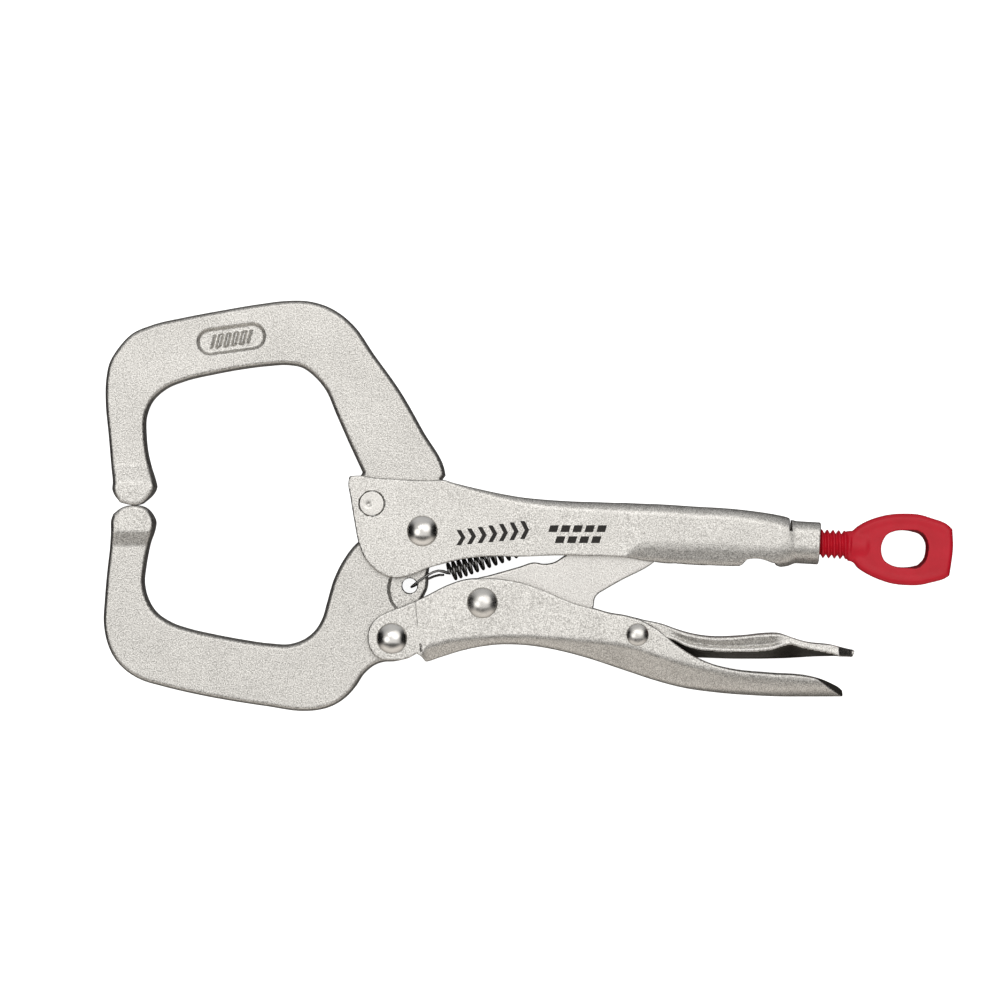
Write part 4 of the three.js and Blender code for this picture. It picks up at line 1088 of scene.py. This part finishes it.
# ------------------------------------------------------------------ rivets and pin
def dome(name, centre, shank, r, high, face, body, node, material):
    rows = []
    for side in (-1, 1):
        part = []
        for i in range(0, 15):
            a = math.pi / 2 * i / 14
            cap = 0.28 + (high - 0.28) * (0.42 * math.cos(a) + 0.58 * (1 - (math.sin(a)) ** 2))
            part.append((side * (face + cap), r * math.sin(a)))
        part.append((side * (face + 0.02), r * 0.985))
        part.append((side * (face + 0.02), shank))
        rows.append(part)
    profile = rows[0] + rows[1][::-1]
    return lathe(name, profile, 72, (centre[0], centre[1], 0), (0, 0, 1), body, [node], material)


dome("domed_jaw_rivet", JAW_PIVOT, 3.5, 5.1, 2.8, 7.7, "handle_body", "jaw_pivot_rivet", M_CHROME)
dome("domed_lever_rivet", LEVER_PIVOT, 3.5, 5.1, 2.8, 8.0, "lever_body", "lever_pivot_rivet", M_CHROME)
dome("domed_link_rivet", LINK_PIVOT, 3.5, 5.1, 2.8, 8.3, "lever_body", "link_pivot_rivet", M_CHROME_SOFT)
dome("domed_release_rivet", RELEASE_PIVOT, 2.3, 3.7, 2.0, 8.7, "lever_body", "release_pivot_rivet", M_CHROME_SOFT)

DIMPLE = (-52.745, 0.48)


def anchor_pin(x, y, z):
    half = 7.72 - 0.42 * np.exp(-((disc(x, y, DIMPLE) / 0.85) ** 2))
    return rmax(disc(x, y, ANCHOR) - 4.03, np.abs(z) - half, 0.12)


surface("flush_anchor_pin", anchor_pin, (ANCHOR[0] - 5, ANCHOR[1] - 5, -8.4), (ANCHOR[0] + 5, ANCHOR[1] + 5, 8.4), 0.27, "handle_body", ["jaw_anchor_pin"], M_PIN)

# ------------------------------------------------------------------ tension spring
A = np.array([-26.199, -22.061, 0])
B = np.array([11.204, -8.457, 0])
d = B - A
L = np.linalg.norm(d)
d /= L
U = np.array([-d[1], d[0], 0])
W = np.array([0, 0, 1.0])
TURNS, COIL, WIRE = 17, 2.8, 0.55
path = [np.array(p) for p in ((-28.019, -22.955, -3.2), (-29.343, -22.624, -4.4), (-31.164, -23.22, -5.0), (-33.15, -24.213, -5.0), (-35.467, -25.404, -4.9), (-37.287, -26.331, -4.6), (-38.379, -26.861, -3.4), (-38.71, -26.96, -1.6), (-38.777, -26.96, 0.4), (-38.677, -26.894, 2.6), (-38.379, -26.596, 4.1), (-37.386, -25.735, 4.75), (-35.467, -24.279, 4.85), (-33.15, -22.756, 4.8), (-31.164, -21.631, 4.6), (-29.575, -21.035, 4.4), (-28.317, -21.201, 3.8))]
steps = 26
for i in range(TURNS * steps + 1):
    a = 2 * math.pi * i / steps + 1.2
    t = i / (TURNS * steps)
    s = L * (0.72 * t + 0.28 * t * t)
    path.append(A + d * s - U * COIL * math.cos(a) + W * COIL * math.sin(a))
path += [np.array(p) for p in ((12.528, -7.861, 0.9), (13.852, -7.133, 0.4), (15.507, -6.67, 0), (16.831, -6.67, 0), (18.155, -6.67, 0), (18.884, -7.133, 0), (19.148, -7.994, 0), (19.148, -8.987, 0))]
path = np.array(path)
# rounds off the two ends' listed bends
for _ in range(2):
    for sl in (slice(0, 19), slice(len(path) - 10, len(path))):
        q = path[sl].copy()
        q[1:-1] = (q[:-2] + 2 * q[1:-1] + q[2:]) / 4
        path[sl] = q
SIDES = 12
tan = np.gradient(path, axis=0)
tan /= np.linalg.norm(tan, axis=1, keepdims=True)
nrm = np.array([0.0, 1.0, 0.0])
rings = []
for p, t in zip(path, tan):
    nrm = nrm - t * float(np.dot(nrm, t))
    nrm /= np.linalg.norm(nrm)
    b = np.cross(t, nrm)
    w = 2 * np.pi * np.arange(SIDES) / SIDES
    wire = WIRE * (0.74 if len(rings) < 16 else 0.96)
    rings.append(p + wire * (np.cos(w)[:, None] * nrm + np.sin(w)[:, None] * b))
v = np.concatenate(rings + [path[:1], path[-1:]])
faces = []
for i in range(len(rings) - 1):
    for q in range(SIDES):
        j = (q + 1) % SIDES
        faces.append((i * SIDES + q, i * SIDES + j, (i + 1) * SIDES + j, (i + 1) * SIDES + q))
c0, top = len(rings) * SIDES, (len(rings) - 1) * SIDES
faces += [(c0, (q + 1) % SIDES, q) for q in range(SIDES)]
faces += [(c0 + 1, top + q, top + (q + 1) % SIDES) for q in range(SIDES)]
mesh = bpy.data.meshes.new("tension_coil")
v = v / 1000
v[:, 2] += ZC / 1000
mesh.from_pydata([tuple(p) for p in v], [], faces)
mesh.update()
for f in mesh.polygons:
    f.use_smooth = True
coil = bpy.data.objects.new("tension_coil", mesh)
bpy.context.scene.collection.objects.link(coil)
mesh.materials.append(M_SPRING)
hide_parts("tension_spring")
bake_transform(coil)

# ------------------------------------------------------------------ stage, light, camera
low, high = cad_low, cad_high
bpy.ops.mesh.primitive_plane_add(size=6, location=(0, 0, low.z - 0.0002))
floor = bpy.context.object
floor.name = "studio_floor"
fm, ft, fp = tree("pale_paper")
fp.inputs["Base Color"].default_value = (0.93, 0.93, 0.93, 1)
fp.inputs["Roughness"].default_value = 0.9
fp.inputs["Specular IOR Level"].default_value = 0.1
fp.inputs["Emission Color"].default_value = (1, 1, 1, 1)
fp.inputs["Emission Strength"].default_value = 0.9
floor.data.materials.append(fm)
floor.visible_glossy = False
floor.visible_diffuse = False

world = bpy.data.worlds.new("soft_studio")
bpy.context.scene.world = world
world.use_nodes = True
wt = world.node_tree
wt.nodes.clear()
wo = wt.nodes.new("ShaderNodeOutputWorld")
wb = wt.nodes.new("ShaderNodeBackground")
wc = wt.nodes.new("ShaderNodeTexCoord")
sep = wt.nodes.new("ShaderNodeSeparateXYZ")
wt.links.new(wc.outputs["Generated"], sep.inputs[0])
DX, DY, DZ = sep.outputs


def ramp(t, value, rows, smooth="EASE"):
    n = t.nodes.new("ShaderNodeValToRGB")
    t.links.new(value, n.inputs[0])
    cr = n.color_ramp
    cr.interpolation = smooth
    while len(cr.elements) < len(rows):
        cr.elements.new(0.5)
    for e, (pos, col) in zip(cr.elements, rows):
        e.position = pos
        e.color = (*((col,) * 3 if isinstance(col, (int, float)) else col), 1)
    return n.outputs[0]


def vmath(op, a, b):
    n = wt.nodes.new("ShaderNodeVectorMath")
    n.operation = op
    for k, x in enumerate((a, b)):
        if isinstance(x, (tuple, list)):
            n.inputs[k].default_value = x
        else:
            wt.links.new(x, n.inputs[k])
    return n.outputs[0] if op != "DOT_PRODUCT" else n.outputs["Value"]


def by_height(rows):
    """A ramp over the sine of the elevation, from -1 to 1."""
    return ramp(wt, height, [((z + 1) / 2, c) for z, c in rows], "LINEAR")


height = math_node(wt, "MULTIPLY_ADD", DZ, 0.5)
height.node.inputs[2].default_value = 0.5
# a tent overhead that darkens towards the horizon, flagged black to the left and right,
# with a dark gap before the near card
overhead = by_height([(-0.1, 0.012), (0.0, 0.02), (0.3, 0.07), (0.5, 0.20), (0.7, (0.43, 0.425, 0.415)), (0.85, (0.63, 0.625, 0.615)), (1.0, (0.70, 0.695, 0.685))])
flags = ramp(wt, math_node(wt, "ABSOLUTE", DX), [(0.60, 1.0), (0.86, 0.04)])
env = vmath("MULTIPLY", overhead, flags)
gap = ramp(wt, math_node(wt, "MULTIPLY", DY, -1.0), [(0.41, 1.0), (0.56, 0.2)])
env = vmath("MULTIPLY", env, gap)
# a pale card beyond the far side and a warm one on the near side
far = ramp(wt, DY, [(0.3, 0.0), (0.9, 1.0)])
env = vmath("ADD", env, vmath("MULTIPLY", far, by_height([(-1.0, 0.0), (-0.75, 0.05), (-0.38, 0.2), (0.14, 0.38), (0.3, 0.38), (0.51, 0.26), (0.76, 0.03), (0.9, 0.0)])))
near = ramp(wt, math_node(wt, "MULTIPLY", DY, -1.0), [(0.3, 0.0), (0.8, (1.0, 0.95, 0.89))])
env = vmath("ADD", env, vmath("MULTIPLY", near, by_height([(-1.0, 0.0), (-0.8, 0.06), (-0.5, 0.2), (-0.2, 0.38), (0.1, 0.58), (0.42, 0.68), (0.6, 0.2), (0.7, 0.0)])))
# a little of the table in the steepest walls
env = vmath("ADD", env, by_height([(-1.0, (0.028, 0.026, 0.024)), (-0.8, (0.02, 0.019, 0.018)), (-0.6, 0.0)]))
# two soft heads overhead
for aim, wide, core, power in (((-0.50, -0.12, 0.85), 0.945, 0.99, 0.75), ((0.36, 0.30, 0.88), 0.87, 0.985, 0.6)):
    spot = ramp(wt, vmath("DOT_PRODUCT", wc.outputs["Generated"], tuple(Vector(aim).normalized())), [(wide, 0.0), (core, (power, power * 0.99, power * 0.975))])
    env = vmath("ADD", env, spot)
wt.links.new(env, wb.inputs[0])
wb.inputs["Strength"].default_value = 1.35
wt.links.new(wb.outputs[0], wo.inputs[0])


def area(name, where, target, size, power, shape="RECTANGLE", size_y=None):
    l = bpy.data.lights.new(name, "AREA")
    l.shape = shape
    l.size = size
    if size_y:
        l.size_y = size_y
    l.energy = power
    o = bpy.data.objects.new(name, l)
    bpy.context.scene.collection.objects.link(o)
    o.location = where
    o.rotation_mode = "QUATERNION"
    o.rotation_quaternion = (Vector(target) - Vector(where)).to_track_quat("-Z", "Y")
    return o


area("key_softbox", (-0.25, 0.6, 1.5), (0, 0, 0), 0.8, 2.0, size_y=0.6)

cam_data = bpy.data.cameras.new("camera")
cam = bpy.data.objects.new("camera", cam_data)
bpy.context.scene.collection.objects.link(cam)
DIST = 2.0
cam_data.sensor_width = 36
cam_data.lens = 36 * (DIST - 0.0045) / 0.331
cam.location = (-9.318 / 1000, 1.936 / 1000, ZC / 1000 + DIST)
cam.rotation_euler = (0, 0, 0)
bpy.context.scene.camera = cam
bpy.context.scene.view_settings.view_transform = "Standard"
